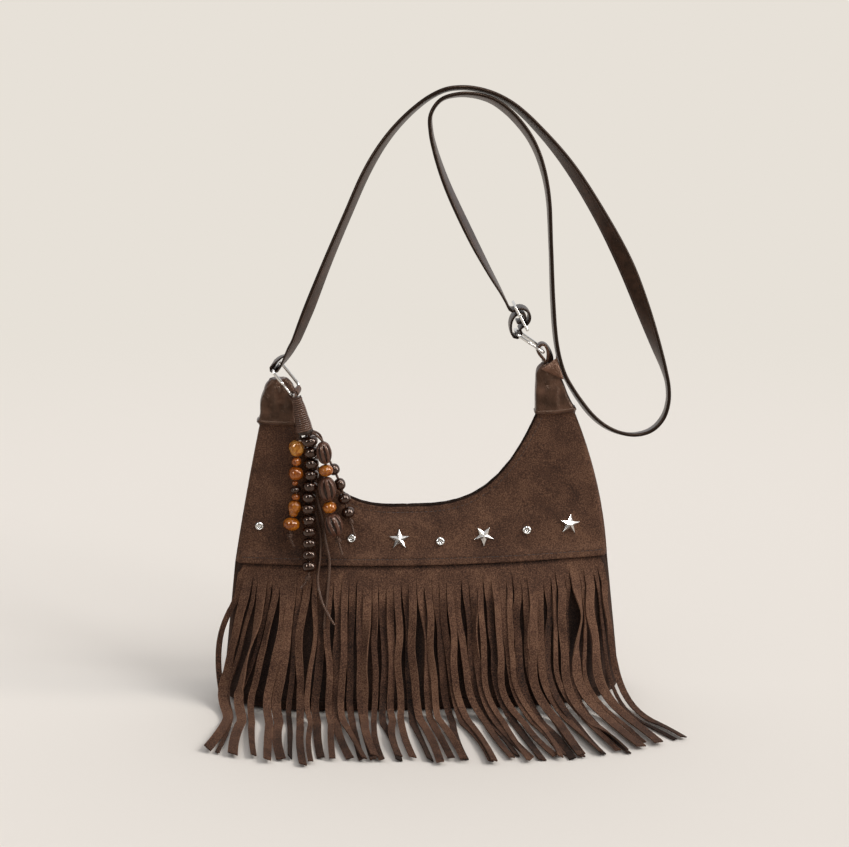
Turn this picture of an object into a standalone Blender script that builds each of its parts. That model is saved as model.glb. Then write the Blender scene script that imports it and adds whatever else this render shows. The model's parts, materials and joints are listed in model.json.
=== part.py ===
# Fringed suede shoulder bag with leather-capped horns, a flat strap and a beaded charm.
# Metres, +Z up. The origin is the middle of the flat base, the front looks along -Y.
import bmesh
import bpy
from math import cos, hypot, pi, radians, sin, sqrt
from mathutils import Matrix, Vector

mm = 0.001
clearance = 0.3 * mm

# Body
base_half_width = 153 * mm
base_half_depth = 42 * mm
base_height = 10 * mm
base_corner = 8 * mm
base_wall = 2.4 * mm
seam_height = 109 * mm
side_taper = 11 * mm
seam_half_width = base_half_width - side_taper
seam_half_depth = 15.5 * mm
mouth_height = 151 * mm
mouth_centre = -11 * mm
mouth_half_depth = 4.5 * mm
mouth_rise = 71 * mm
mouth_power = 3.2
left_shoulder = 63 * mm
right_shoulder = 55 * mm
left_mouth_width = base_half_width - left_shoulder
right_mouth_width = base_half_width - right_shoulder
horn_width = 14.5 * mm
left_horn_rise = 21 * mm
right_horn_rise = 30 * mm
left_tip = (mouth_centre - left_mouth_width - horn_width, mouth_height + mouth_rise + left_horn_rise)
right_tip = (mouth_centre + right_mouth_width + horn_width, mouth_height + mouth_rise + right_horn_rise)
left_bulge = 1.0 * mm
right_bulge = 7.5 * mm
tip_half_depth = 1.5 * mm
front_wall = 1.5 * mm
yoke_wall = 1.4 * mm
back_wall = 2.4 * mm
panel_columns = 14

# Fringe
fringe_wall = 1.0 * mm
fringe_strips = 50
fringe_length = 190 * mm
header_tuck = 6 * mm
header_drop = 14 * mm
header_reach = 0.965
header_ease = 0.4 * mm
yoke_slope = 5 * mm
strip_gap = 0.4 * mm
strip_lift = 1.6 * mm
strip_sway = 1.2 * mm
strip_top = 84 * mm
strip_foot = 13 * mm
strip_stand = 0.8 * mm
strip_flare = 5.7 * mm
strip_levels = 4
strip_layer = 1.2 * mm
bend_out = 12 * mm
shortest_foot = 20 * mm
left_fan = radians(-13)
right_fan = radians(27)

# Leather caps and tabs
cap_wall = 1.4 * mm
cap_gap = 0.6 * mm
cap_binding = 0.6 * mm
left_cap_height = 26 * mm
right_cap_height = 30 * mm
cap_crown = 9 * mm
cap_corner = 0.5 * mm
tab_width = 9 * mm
tab_wall = 1.6 * mm

# Gate rings
ring_length = 27 * mm
ring_width = 21 * mm
ring_wire = 2.4 * mm
ring_bend = 3.2 * mm
gate_wire = 1.9 * mm
gate_start = -2 * mm
gate_end = 8.6 * mm
left_ring_offset = Vector((14.3, 0.0, 8.5)) * mm
left_ring_centre = Vector((left_tip[0], 0.0, left_tip[1])) + left_ring_offset
left_ring_slope = radians(-53)
left_ring_roll = radians(20)
right_ring_offset = Vector((-21.5, 0.0, 25.5)) * mm
right_ring_centre = Vector((right_tip[0], 0.0, right_tip[1])) + right_ring_offset
right_ring_slope = radians(-36)
right_ring_roll = radians(0)

# Strap and slider
strap_width = 15 * mm
strap_wall = 3 * mm
strap_step = 15 * mm
strap_span = 287.2 * mm
strap_rise = 213.5 * mm
slider_offset = Vector((-7.0, 0.0, 19.0)) * mm
slider_centre = right_ring_centre + slider_offset
left_ring_share = (-63.09, -12.18)
slider_slope = radians(-62.3)
slider_rail = 2.2 * mm
slider_bar = 2.2 * mm
slider_wall = 2 * mm
slider_play = 0.55 * mm

# Studs and snap
stud_diameter = 7 * mm
stud_height = 2.4 * mm
star_radius = 7.4 * mm
star_waist = 0.42
star_height = 2.8 * mm
snap_diameter = 14 * mm
snap_wall = 1.6 * mm
snap_drop = 14 * mm

# Charm
wrap_top_radius = 3.7 * mm
wrap_foot_radius = 6.6 * mm
wrap_turns = 9
wrap_rib = 0.35 * mm
loop_cord = 1.8 * mm
thong_diameter = 1.8 * mm
bead_play = 0.4 * mm
bead_gap = 0.5 * mm
bare_step = 4 * mm
tail_step = 7 * mm
charm_offset = Vector((8.7, -14.5, -14.0)) * mm
charm_pivot = left_ring_centre + charm_offset
wrap_reach = Vector((4.5, -1.0, -23.0)) * mm
wrap_foot = charm_pivot + wrap_reach


def clear_scene():
    for item in list(bpy.data.objects):
        bpy.data.objects.remove(item, do_unlink=True)


def material(name, colour, roughness, metallic=0.0):
    found = bpy.data.materials.get(name)
    if found:
        return found
    made = bpy.data.materials.new(name)
    made.use_nodes = True
    shader = made.node_tree.nodes["Principled BSDF"]
    shader.inputs["Base Color"].default_value = (*colour, 1.0)
    shader.inputs["Roughness"].default_value = roughness
    shader.inputs["Metallic"].default_value = metallic
    made.diffuse_color = (*colour, 1.0)
    return made


def suede():
    return material("suede", (0.100, 0.042, 0.030), 0.95)


def leather():
    return material("leather", (0.055, 0.028, 0.022), 0.42)


def steel():
    return material("steel", (0.60, 0.58, 0.55), 0.22, 1.0)


def thong():
    return material("thong", (0.085, 0.055, 0.048), 0.6)


def finish(name, verts, faces, look, origin=None, parent=None):
    """Makes one named object of points and faces, its origin where a joint or a seat needs it."""
    origin = origin or Vector((0.0, 0.0, 0.0))
    mesh = bpy.data.meshes.new(name)
    mesh.from_pydata([Vector(v) - origin for v in verts], [], faces)
    tidy = bmesh.new()
    tidy.from_mesh(mesh)
    bmesh.ops.recalc_face_normals(tidy, faces=tidy.faces)
    tidy.to_mesh(mesh)
    tidy.free()
    mesh.materials.append(look)
    mesh.shade_smooth()
    mesh.set_sharp_from_angle(angle=radians(40))
    item = bpy.data.objects.new(name, mesh)
    item.location = origin
    bpy.context.collection.objects.link(item)
    if parent:
        item.parent = parent
        item.location = origin - parent.location
    return item


def blend(a, b, t):
    return a + (b - a) * t


def loft(rings, closed=False):
    """Points and faces of a tube through equal closed rings, with flat ends unless it closes on itself."""
    verts = [point for ring in rings for point in ring]
    count = len(rings[0])
    faces = []
    spans = len(rings) if closed else len(rings) - 1
    for row in range(spans):
        here = row * count
        there = (row + 1) % len(rings) * count
        for side in range(count):
            after = (side + 1) % count
            faces.append((here + side, here + after, there + after, there + side))
    if not closed:
        faces.append(tuple(range(count)))
        last = (len(rings) - 1) * count
        faces.append(tuple(range(last, last + count)))
    return verts, faces


# The body's form: every layer is read from these functions


def edge_x(side, z):
    """Where the side seam lies at a height; side is -1 left and +1 right."""
    tip_x, tip_z = left_tip if side < 0 else right_tip
    bulge = left_bulge if side < 0 else right_bulge
    if z <= seam_height:
        t = (z - base_height) / (seam_height - base_height)
        return side * blend(base_half_width, seam_half_width, t)
    t = (z - seam_height) / (tip_z - seam_height)
    return blend(side * seam_half_width, tip_x, t) + side * bulge * 4 * t * max(0.0, 1 - t)


def mouth_x(side, z):
    """Where the mouth's edge lies at a height above its lowest point."""
    width = left_mouth_width if side < 0 else right_mouth_width
    rise = min(1.0, (z - mouth_height) / mouth_rise)
    return mouth_centre + side * width * rise ** (1 / mouth_power)


def lens(z):
    """Half-depth in the middle, and the two powers of the section's curve."""
    if z <= seam_height:
        t = max(0.0, (z - base_height) / (seam_height - base_height))
        depth = blend(base_half_depth, seam_half_depth, t ** 1.25)
        return depth, blend(4.0, 2.0, t), blend(0.5, 1.0, t)
    if z <= mouth_height:
        t = (z - seam_height) / (mouth_height - seam_height)
        return blend(seam_half_depth, mouth_half_depth, t), 2.0, 1.0
    t = min(1.0, (z - mouth_height) / mouth_rise)
    return blend(mouth_half_depth, tip_half_depth, t), 2.0, 1.0


def swell(x, z):
    """How far the bag's inner face stands off its middle plane at a place."""
    depth, power, root = lens(z)
    side = -1 if x < 0 else 1
    share = min(1.0, abs(x / edge_x(side, z)))
    return depth * (1 - share ** power) ** root


def front_y(x, z, offset):
    """Y of a front layer whose face is offset outwards from the bag's inner face."""
    return -(clearance / 2 + swell(x, z) + offset)


yoke_inner = front_wall + clearance
yoke_outer = yoke_inner + yoke_wall
header_inner = front_wall + clearance + header_ease
header_outer = header_inner + fringe_wall
yoke_step = header_ease + fringe_wall + clearance
header_top = seam_height + header_tuck
slit_height = seam_height - header_drop


def yoke_rise(z):
    """The yoke stands off by the header's thickness where the header is tucked under it."""
    t = min(1.0, max(0.0, (z - header_top - clearance) / yoke_slope))
    return yoke_step * (1 - t)


def panel_rows(levels, steps):
    """Heights up to the mouth's low point, evenly spaced between the named levels."""
    rows = [levels[0]]
    for low, high, count in zip(levels, levels[1:], steps):
        rows += [blend(low, high, (k + 1) / count) for k in range(count)]
    return rows


def panel_section(facing, z, spans, faces_at):
    """One row of a panel: outer and inner points of its left and right halves, and both side returns.

    spans holds where each half starts and stops from left to right. The layers under the outermost
    stop short of the side seam, so that each turns in under the one over it.
    """
    low, high, inset = faces_at(z)
    half = panel_columns // 2
    outer = []
    inner = []
    ends = []
    for side, (start, stop) in zip((-1, 1), spans):
        for k in range(half + 1):
            x = blend(start, stop, k / half)
            share = side * (1 - k / half if side < 0 else k / half)
            y = clearance / 2 + swell(x, z)
            outer.append(Vector((x - share * inset, facing * (y + high), z)))
            inner.append(Vector((x - share * (inset + high - low), facing * (y + low), z)))
        seam = start if side < 0 else stop
        ends.append(Vector((seam - side * inset, facing * clearance / 2, z)))
    return outer, inner, ends


def panel(name, facing, rows, faces_at, look):
    """A sewn panel: a loft of the body's section, split into two horns above the mouth."""
    sections = []
    for z in rows:
        spans = ((edge_x(-1, z), mouth_centre), (mouth_centre, edge_x(1, z)))
        sections.append(panel_section(facing, z, spans, faces_at))
    half = panel_columns // 2
    for share in (0.25, 0.42, 0.58, 0.73, 0.87, 1.0, None):
        left, right = [], []
        for side, kept in ((-1, left), (1, right)):
            tip = (left_tip if side < 0 else right_tip)[1]
            z = tip if share is None else mouth_height + mouth_rise * share ** mouth_power
            spans = ((edge_x(-1, z), mouth_x(-1, z)), (mouth_x(1, z), edge_x(1, z)))
            kept.extend(panel_section(facing, z, spans, faces_at))
        sections.append((left[0][:half + 1] + right[0][half + 1:], left[1][:half + 1] + right[1][half + 1:],
                         (left[2][0], right[2][1])))
    verts = []
    grids = ([], [], [])
    for section in sections:
        for grid, points in zip(grids, section):
            grid.append(list(range(len(verts), len(verts) + len(points))))
            verts.extend(points)
    faces = panel_faces(*grids, len(rows) - 1)
    return finish(name, *drop_unused(verts, faces), look)


def panel_faces(outer, inner, returns, mouth_row):
    """Skins, edges and side returns of a panel; the two middle columns are one below the mouth."""
    faces = []
    half = panel_columns // 2
    last = panel_columns + 1
    top = len(outer) - 1

    def point(grid, row, k):
        """The two middle columns share their points up to the mouth's low point."""
        return grid[row][half if row <= mouth_row and k == half + 1 else k]

    for row in range(top):
        for k in range(last):
            if k != half:
                for grid in (outer, inner):
                    faces.append((point(grid, row, k), point(grid, row, k + 1),
                                  point(grid, row + 1, k + 1), point(grid, row + 1, k)))
        for end, k in ((0, 0), (1, last)):
            for grid in (outer, inner):
                faces.append((grid[row][k], grid[row + 1][k], returns[row + 1][end], returns[row][end]))
        if row >= mouth_row:
            for k in (half, half + 1):
                faces.append((point(outer, row, k), point(outer, row + 1, k),
                              point(inner, row + 1, k), point(inner, row, k)))
    for row in (0, top):
        for k in range(last):
            if k != half:
                faces.append((point(outer, row, k), point(outer, row, k + 1),
                              point(inner, row, k + 1), point(inner, row, k)))
        for end, k in ((0, 0), (1, last)):
            faces.append((outer[row][k], inner[row][k], returns[row][end]))
    return faces


def drop_unused(verts, faces):
    """Keeps only the points that some face uses."""
    used = sorted({index for face in faces for index in face})
    renumber = {old: new for new, old in enumerate(used)}
    return [verts[old] for old in used], [tuple(renumber[i] for i in face) for face in faces]


def build_panels():
    rows = panel_rows((base_height + clearance, seam_height, mouth_height), (5, 3))
    panel("front_panel", -1, rows, lambda z: (0.0, front_wall, yoke_wall + clearance), suede())
    panel("back_panel", 1, rows, lambda z: (0.0, back_wall, 0.0), suede())
    over_header = header_top + clearance
    rows = panel_rows((seam_height, over_header, over_header + yoke_slope, mouth_height), (1, 1, 2))
    panel("front_yoke", -1, rows,
          lambda z: (yoke_inner + yoke_rise(z), yoke_outer + yoke_rise(z), 0.0), suede())


def base_ring(inset, z, count=28):
    """One turn of the base's outline, pulled in from its full size."""
    wide = base_half_width - inset
    deep = base_half_depth + back_wall - inset
    ring = []
    for k in range(count):
        angle = 2 * pi * k / count
        c, s = cos(angle), sin(angle)
        x = wide * abs(c) ** 0.62 * (1 if c > 0 else -1)
        share = min(1.0, abs(x / wide))
        y = deep * (1 - share ** 4.0) ** 0.5 * (1 if s > 0 else -1)
        ring.append(Vector((x, y, z)))
    return ring


def build_base():
    """A shallow tray: a flat bottom with a rounded rim that the panels are sewn to."""
    rings = []
    steps = 3
    for k in range(steps + 1):
        angle = pi / 2 * k / steps
        rings.append(base_ring(base_corner * (1 - cos(angle)), base_height * (1 - sin(angle))))
    inside = []
    for k in range(steps + 1):
        angle = pi / 2 * k / steps
        inset = base_wall + (base_corner - base_wall) * (1 - cos(angle))
        inside.append(base_ring(inset, base_height - (base_height - base_wall) * sin(angle)))
    verts, faces = loft(rings[::-1] + inside)
    return finish("base_panel", verts, faces, suede())


# The fringe: one sheet, uncut at the top and slit into strips below


def strip_out(z):
    """How far a strip hangs off the panel at a height."""
    t = min(1.0, max(0.0, (strip_top - z) / (strip_top - strip_foot)))
    return strip_stand + strip_flare * t ** 1.6


def strip_path(index, share):
    """Points down the middle of a strip, with the direction that it runs over the floor."""
    sway = strip_sway * sin(index * 2.4)
    stand = header_inner + fringe_wall / 2
    points = []
    for k in range(strip_levels):
        t = k / (strip_levels - 1)
        z = blend(strip_top, strip_foot, t)
        x = edge_x(-1 if share < 0 else 1, z) * abs(share) + sway * sin(pi * t)
        grow = min(1.0, (slit_height - z) / (20 * mm))
        y = front_y(x, z, stand + (strip_out(z) + index % 2 * strip_lift) * grow)
        points.append(Vector((x, y, z)))
    return points, blend(left_fan, right_fan, (share + 1) / 2)


def lay_on_floor(points, fan, length, rest):
    """Carries a strip's path round its bend and out over the floor to its full length."""
    ahead = Vector((sin(fan), -cos(fan), 0.0))
    foot = points[-1]
    for out, height in ((0.42, 0.375), (1.0, 0.0)):
        points.append(Vector((foot.x, foot.y, rest + bend_out * height)) + ahead * bend_out * out)
    run = sum((b - a).length for a, b in zip(points, points[1:])) + seam_height - points[0].z
    left = max(shortest_foot, length - run)
    points.append(points[-1] + ahead * left)
    return points


def build_fringe():
    strips = fringe_strips
    stand = header_inner + fringe_wall / 2
    verts = []
    faces = []

    def header_row(z):
        row = []
        for k in range(strips + 1):
            share = blend(-header_reach, header_reach, k / strips)
            x = edge_x(-1 if share < 0 else 1, z) * abs(share)
            verts.append(Vector((x - share * yoke_wall, front_y(x, z, stand), z)))
            row.append(len(verts) - 1)
        return row

    top, seam, root = header_row(header_top), header_row(seam_height), header_row(slit_height)
    for k in range(strips):
        faces.append((top[k], top[k + 1], seam[k + 1], seam[k]))
        faces.append((seam[k], seam[k + 1], root[k + 1], root[k]))
        share = blend(-header_reach, header_reach, (k + 0.5) / strips)
        path, fan = strip_path(k, share)
        rest = clearance + fringe_wall / 2 + (k % 2) * strip_layer
        path = lay_on_floor(path, fan, fringe_length * (1 + 0.03 * sin(k * 1.7)), rest)
        before = (root[k], root[k + 1])
        half = (verts[root[k + 1]] - verts[root[k]]).length / 2 - strip_gap / 2
        for at, point in enumerate(path):
            if at < strip_levels:
                lean = front_y(point.x + half, point.z, 0.0) - front_y(point.x - half, point.z, 0.0)
                across = Vector((2 * half, max(-half, min(half, lean)), 0.0)).normalized() * half
            else:
                turn = fan * (0.5 if at == strip_levels else 1.0)
                across = Vector((cos(turn), sin(turn), 0.0)) * half
            verts.extend((point - across, point + across))
            here = (len(verts) - 2, len(verts) - 1)
            faces.append((before[0], before[1], here[1], here[0]))
            before = here
    sheet = finish("fringe", verts, faces, suede())
    thick = sheet.modifiers.new("thickness", "SOLIDIFY")
    thick.thickness = fringe_wall
    thick.offset = 0.0
    thick.use_even_offset = False
    return sheet


# Leather caps and tabs


def rounded_section(x_low, x_high, y_front, y_back, radius, z):
    """A rounded rectangle at a height."""
    corners = ((x_high, y_back, 0), (x_low, y_back, 1), (x_low, y_front, 2), (x_high, y_front, 3))
    ring = []
    for x, y, quarter in corners:
        middle_x = x + (radius if x == x_low else -radius)
        middle_y = y + (radius if y == y_front else -radius)
        for k in range(3):
            angle = (quarter + k / 2) * pi / 2
            ring.append(Vector((middle_x + radius * cos(angle), middle_y + radius * sin(angle), z)))
    return ring


def cap_section(side, z, grow, shrink_x=0.0):
    """The horn's own outline at a height, grown by a clearance or a wall."""
    outer_x = edge_x(side, min(z, (left_tip if side < 0 else right_tip)[1]))
    inner_x = mouth_x(side, z)
    x_low, x_high = sorted((outer_x, inner_x))
    stand = swell(inner_x, z)
    front = -(clearance / 2 + stand + yoke_outer + grow)
    back = clearance / 2 + stand + back_wall + grow
    return rounded_section(x_low - grow + shrink_x, x_high + grow - shrink_x, front, back,
                           cap_corner + grow, z)


def build_cap(name, side, height):
    """A sock of leather over the horn, bound at the bottom and gathered to a narrow top."""
    tip = (left_tip if side < 0 else right_tip)[1]
    bottom = tip - height
    outside = cap_gap + cap_wall
    inner = []
    outer = []
    levels = [bottom, bottom + 2.4 * mm, bottom + 3.2 * mm, blend(bottom, tip, 0.55), tip - 2 * mm]
    for at, z in enumerate(levels):
        bound = cap_binding if at < 2 else 0.0
        outer.append(cap_section(side, z, outside + bound))
        inner.append(cap_section(side, z, cap_gap))
    inner.append(cap_section(side, tip + cap_gap, cap_gap))
    for lift, pull in ((0.45, 0.13), (0.85, 0.36), (1.0, 0.56)):
        ring = cap_section(side, tip, outside, cap_crown * pull)
        for point in ring:
            point.z = tip + cap_crown * lift
            point.y *= 1 - 0.25 * lift
        outer.append(ring)
    verts, faces = loft(outer[::-1] + inner)
    return finish(name, verts, faces, leather())


def band(points, acrosses, width, wall):
    """Rings of a flat strap: six points round each place on its middle line."""
    rings = []
    for at, point in enumerate(points):
        before = points[max(0, at - 1)]
        after = points[min(len(points) - 1, at + 1)]
        along = (after - before).normalized()
        across = acrosses[at]
        across = (across - along * across.dot(along)).normalized()
        normal = along.cross(across)
        ring = []
        for w, t in ((-0.5, 0), (-0.44, 0.5), (0.44, 0.5), (0.5, 0), (0.44, -0.5), (-0.44, -0.5)):
            ring.append(point + across * width * w + normal * wall * t)
        rings.append(ring)
    return rings


def smooth_path(points, step):
    """Evenly spaced points on a smooth curve through the chosen ones."""
    fine = []
    last = len(points) - 1
    for k in range(last):
        before, a, b, after = points[max(0, k - 1)], points[k], points[k + 1], points[min(last, k + 2)]
        for part in range(10):
            t = part / 10
            fine.append(0.5 * (2 * a + (b - before) * t + (2 * before - 5 * a + 4 * b - after) * t ** 2
                               + (3 * a - before - 3 * b + after) * t ** 3))
    fine.append(points[last])
    count = max(2, round(path_length(fine) / step))
    return [along_path(fine, path_length(fine) * k / count) for k in range(count + 1)]


def path_length(points):
    return sum((b - a).to_3d().length for a, b in zip(points, points[1:]))


def along_path(points, distance):
    """The point at a distance along a path."""
    for a, b in zip(points, points[1:]):
        run = (b - a).to_3d().length
        if distance <= run:
            return a.lerp(b, distance / run)
        distance -= run
    return points[-1]


# Gate rings


def ring_frame(centre, slope, roll):
    """The ring's axes: along it, across it towards the back, and square to its plane."""
    along = Vector((cos(slope), 0.0, sin(slope)))
    upright = Vector((-sin(slope), 0.0, cos(slope)))
    across = upright * sin(roll) + Vector((0.0, 1.0, 0.0)) * cos(roll)
    return Matrix.Translation(centre) @ Matrix((along, across, along.cross(across))).transposed().to_4x4()


left_ring = ring_frame(left_ring_centre, left_ring_slope, left_ring_roll)
right_ring = ring_frame(right_ring_centre, right_ring_slope, right_ring_roll)
ring_half_length = (ring_length - ring_wire) / 2
ring_half_width = (ring_width - ring_wire) / 2


def wire_rings(points, diameters, sides=6):
    """Round sections along a path that lies in a flat plane."""
    rings = []
    for at, point in enumerate(points):
        along = (points[min(len(points) - 1, at + 1)] - points[max(0, at - 1)]).normalized()
        flat = Vector((0.0, 0.0, 1.0))
        out = along.cross(flat)
        spins = [2 * pi * k / sides for k in range(sides)]
        rings.append([point + (out * cos(a) + flat * sin(a)) * diameters[at] / 2 for a in spins])
    return rings


def build_ring(side, frame):
    """A wire ring open on its front long side, and the sprung gate that closes it."""
    front = -ring_half_width
    points = [Vector((gate_end + clearance, front, 0.0))]
    for x, y, quarter in ((1, -1, 3), (1, 1, 0), (-1, 1, 1), (-1, -1, 2)):
        for k in range(5):
            angle = (quarter + k / 4) * pi / 2
            points.append(Vector((x * (ring_half_length - ring_bend) + ring_bend * cos(angle),
                                  y * (ring_half_width - ring_bend) + ring_bend * sin(angle), 0.0)))
    points.append(Vector((gate_start - clearance, front, 0.0)))
    verts, faces = loft(wire_rings(points, [ring_wire] * len(points)))
    finish(side + "_ring", [frame @ v for v in verts], faces, steel())
    rounded = gate_wire / 4
    bar = [Vector((x, front, 0.0)) for x in (gate_start, gate_start + rounded, gate_end - rounded, gate_end)]
    verts, faces = loft(wire_rings(bar, [gate_wire * 0.6, gate_wire, gate_wire, gate_wire * 0.6]))
    hinge = frame @ Vector((gate_end - gate_wire / 2, front, 0.0))
    finish(side + "_gate", [frame @ v for v in verts], faces, steel(), origin=hinge)


def corner_drop(half):
    """How far the ring's end bar has curved inwards at a distance from its middle."""
    past = max(0.0, half - (ring_half_width - ring_bend))
    return ring_bend - sqrt(ring_bend ** 2 - past ** 2)


def build_tabs():
    """Leather strips looped round the rings' lower bars, both of their ends on the caps.

    The left one comes out of its cap's side and the right one stands on its cap's top.
    """
    flat = Vector((0.0, 1.0, 0.0))
    tilted = left_ring.to_3x3() @ flat
    radius = (ring_wire / 2 + clearance + tab_wall / 2) / cos(pi / 14)
    legs = tab_wall / 2 + clearance / 2
    seat = left_ring @ Vector((ring_half_length, 0.0, 0.0)) + Vector((0.0, 0.0, -0.4 * mm))
    seat.x = mouth_x(-1, left_tip[1]) + cap_gap + cap_wall + clearance
    loop = []
    for k in range(8):
        angle = radians(blend(-45, 130, k / 7))
        loop.append(left_ring @ Vector((ring_half_length + radius * cos(angle), 0.0, radius * sin(angle))))
    path = [seat + Vector((x * mm, 0.0, -legs - z * mm)) for x, z in ((0.0, 0.0), (2.2, 0.4))] + loop
    path += [seat + Vector((x * mm, 0.0, legs + z * mm)) for x, z in ((2.2, 1.3), (1.0, 0.1), (0.0, 0.0))]
    acrosses = [flat, tilted] + [tilted] * len(loop) + [tilted, flat + tilted, flat]
    finish("left_tab", *loft(band(path, acrosses, tab_width, tab_wall)), leather())

    bar = right_ring @ Vector((ring_half_length, 0.0, 0.0))
    foot = right_tip[1] + cap_crown + clearance
    arch = ((-1.4, -3.9), (-3.4, -0.7), (-3.4, 2.3), (-1.4, 4.6), (1.3, 4.5), (3.5, 1.9), (4.9, -1.7))
    path = [Vector((bar.x + 1.4 * mm, 0.0, foot)), Vector((bar.x + 1.2 * mm, 0.0, foot + 1.7 * mm))]
    path += [bar + Vector((x, 0.0, z)) * mm for x, z in arch]
    path += [Vector((bar.x + 5.6 * mm, 0.0, foot + lift)) for lift in (3 * mm, 0.0)]
    finish("right_tab", *loft(band(path, [flat] * len(path), tab_width, tab_wall)), leather())


# Strap and slider


slider_along = Vector((cos(slider_slope), 0.0, sin(slider_slope)))
slider_out = Vector((-sin(slider_slope), 0.0, cos(slider_slope)))
fold_radius = hypot(slider_bar, slider_wall) / 2 + clearance + strap_wall / 2
pass_radius = fold_radius + strap_wall + clearance
slider_pitch = pass_radius + strap_wall / 2 + clearance + slider_bar / 2


def on_slider(along, out):
    """A place in the slider's own plane, measured from its middle bar."""
    return slider_centre + slider_along * along + slider_out * out


def turn_round(centre, radius, first, last, steps):
    """Points round a bar, with angles measured in the slider's plane."""
    angles = [radians(blend(first, last, k / steps)) for k in range(steps + 1)]
    return [centre + (slider_along * cos(a) + slider_out * sin(a)) * radius for a in angles]


def strap_left_end():
    """The strap's left end, folded round the left ring's upper bar and doubled back on itself."""
    radius = ring_wire / 2 + corner_drop(strap_width / 2) + clearance + strap_wall / 2
    near = radius + 0.1 * mm
    places = ((-8.0 * mm, 5.5 * mm, 19.2 * mm), (-6.3 * mm, 4.2 * mm, 16.6 * mm),
              (-4.7 * mm, 1.8 * mm, 12.5 * mm), (-near - 0.2 * mm, 0.0, 7.5 * mm), (-near, 0.0, 3.5 * mm),
              (-near, 0.0, 0.0), (-radius * 0.82, 0.0, -radius * 0.7), (-radius * 0.15, 0.0, -radius - 0.8 * mm),
              (radius * 0.75, 0.0, -radius - 1.2 * mm), (radius * 1.5, 0.0, -radius * 0.95),
              (radius * 1.92, 0.0, -0.8 * mm), (radius * 1.88, 0.0, 2.4 * mm), (4.5 * mm, 0.0, 6.4 * mm),
              (1.2 * mm, 1.2 * mm, 11.5 * mm))
    across = left_ring.to_3x3() @ Vector((0.0, 1.0, 0.0))
    points = [left_ring @ Vector((a - ring_half_length, b, c)) for a, b, c in places]
    return points, [across] * len(points)


def strap_right_end():
    """Over the slider's middle bar, round the right ring's upper bar and back to the slider."""
    bar = right_ring @ Vector((-ring_half_length, 0.0, 0.0))
    turn = (ring_wire / 2 + corner_drop(strap_width / 2) + clearance + strap_wall / 2) / cos(pi / 8)
    over = pass_radius / cos(pi / 12)
    fold = fold_radius / cos(pi / 12)
    under = slider_wall / 2 + strap_wall / 2
    points = [on_slider(-slider_pitch - 5 * mm, -under - 1.9 * mm), on_slider(-slider_pitch, -under - 2.1 * mm),
              on_slider(-over - 0.8 * mm, -under - 1.1 * mm), on_slider(-over, -1.6 * mm)]
    points += turn_round(slider_centre, over, 180, 0, 6)
    points += [on_slider(over, -1.8 * mm)]
    points += turn_round(bar, turn, 110, -110, 5)
    points += [on_slider(4.6 * mm, -10.6 * mm), on_slider(1.2 * mm, -8.9 * mm), on_slider(-1.7 * mm, -6.2 * mm),
               on_slider(-fold, -3 * mm)]
    points += turn_round(slider_centre, fold, 180, 0, 6)
    points += [on_slider(fold - 0.2 * mm, -2.4 * mm), on_slider(2.1 * mm, -4.3 * mm)]
    return points, [Vector((0.0, 1.0, 0.0))] * len(points)


def on_strap(along, up):
    return right_ring_centre + Vector((strap_span * along, 0.0, strap_rise * up)) / 100


def strap_route():
    """The strap's free run, chosen by eye: places in the bag's middle plane and the twist at each.

    They are in hundredths of the strap's span and rise from the right ring. Its start keeps to the left one.
    """
    places = ((-60.2, 1.6, -17), (-57.1, 11.9, -25), (-52.6, 28.3, -26), (-47.7, 45.2, -26),
              (-42.1, 61.1, -25), (-35.5, 73.3, -20), (-28.2, 82.9, -16), (-21.2, 87.8, -14),
              (-12.9, 87.4, -13), (-4.9, 82.2, -15), (3.1, 71.9, -20), (10.4, 59.7, -24),
              (18.1, 43.3, -27), (24.4, 27.4, -40), (28.9, 12.9, -34), (33.1, -2.1, -18),
              (35.9, -12.9, -3), (36.9, -21.3, 4), (35.2, -29.7, 8), (31.3, -34.0, 11), (26.8, -34.7, 13),
              (21.6, -32.6, 14), (16.7, -27.4, 12), (12.5, -19.9, 9), (9.1, -11.5, 4), (7.0, -0.2, 1),
              (5.9, 15.2, 0), (5.2, 34.0, -2), (4.2, 52.7, 2), (1.0, 67.2, 10), (-4.2, 77.5, 17),
              (-10.4, 84.1, 18), (-17.1, 85.9, 15), (-22.6, 84.5, 11), (-25.6, 79.4, 7), (-25.1, 70.0, 8),
              (-21.6, 55.5, 15), (-15.7, 38.2, 19), (-10.8, 25.5, 12), (-7.7, 18.0, 4))
    spare = left_ring_centre - on_strap(*left_ring_share)
    outermost = max(range(len(places)), key=lambda k: places[k][0])
    route = []
    for k, (along, up, twist) in enumerate(places):
        spot = on_strap(along, up) + spare * max(0.0, 1 - k / outermost)
        route.append(Vector((*spot, radians(twist))))
    return smooth_path(route, strap_step)


def build_strap():
    points, acrosses = strap_left_end()
    route = strap_route()
    for at, place in enumerate(route):
        along = (route[min(len(route) - 1, at + 1)] - route[max(0, at - 1)]).to_3d().normalized()
        flat = Vector((0.0, 1.0, 0.0))
        points.append(place.to_3d())
        acrosses.append(flat * cos(place.w) + along.cross(flat) * sin(place.w))
    end_points, end_acrosses = strap_right_end()
    rings = band(points + end_points, acrosses + end_acrosses, strap_width, strap_wall)
    finish("strap", *loft(rings), leather())


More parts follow.
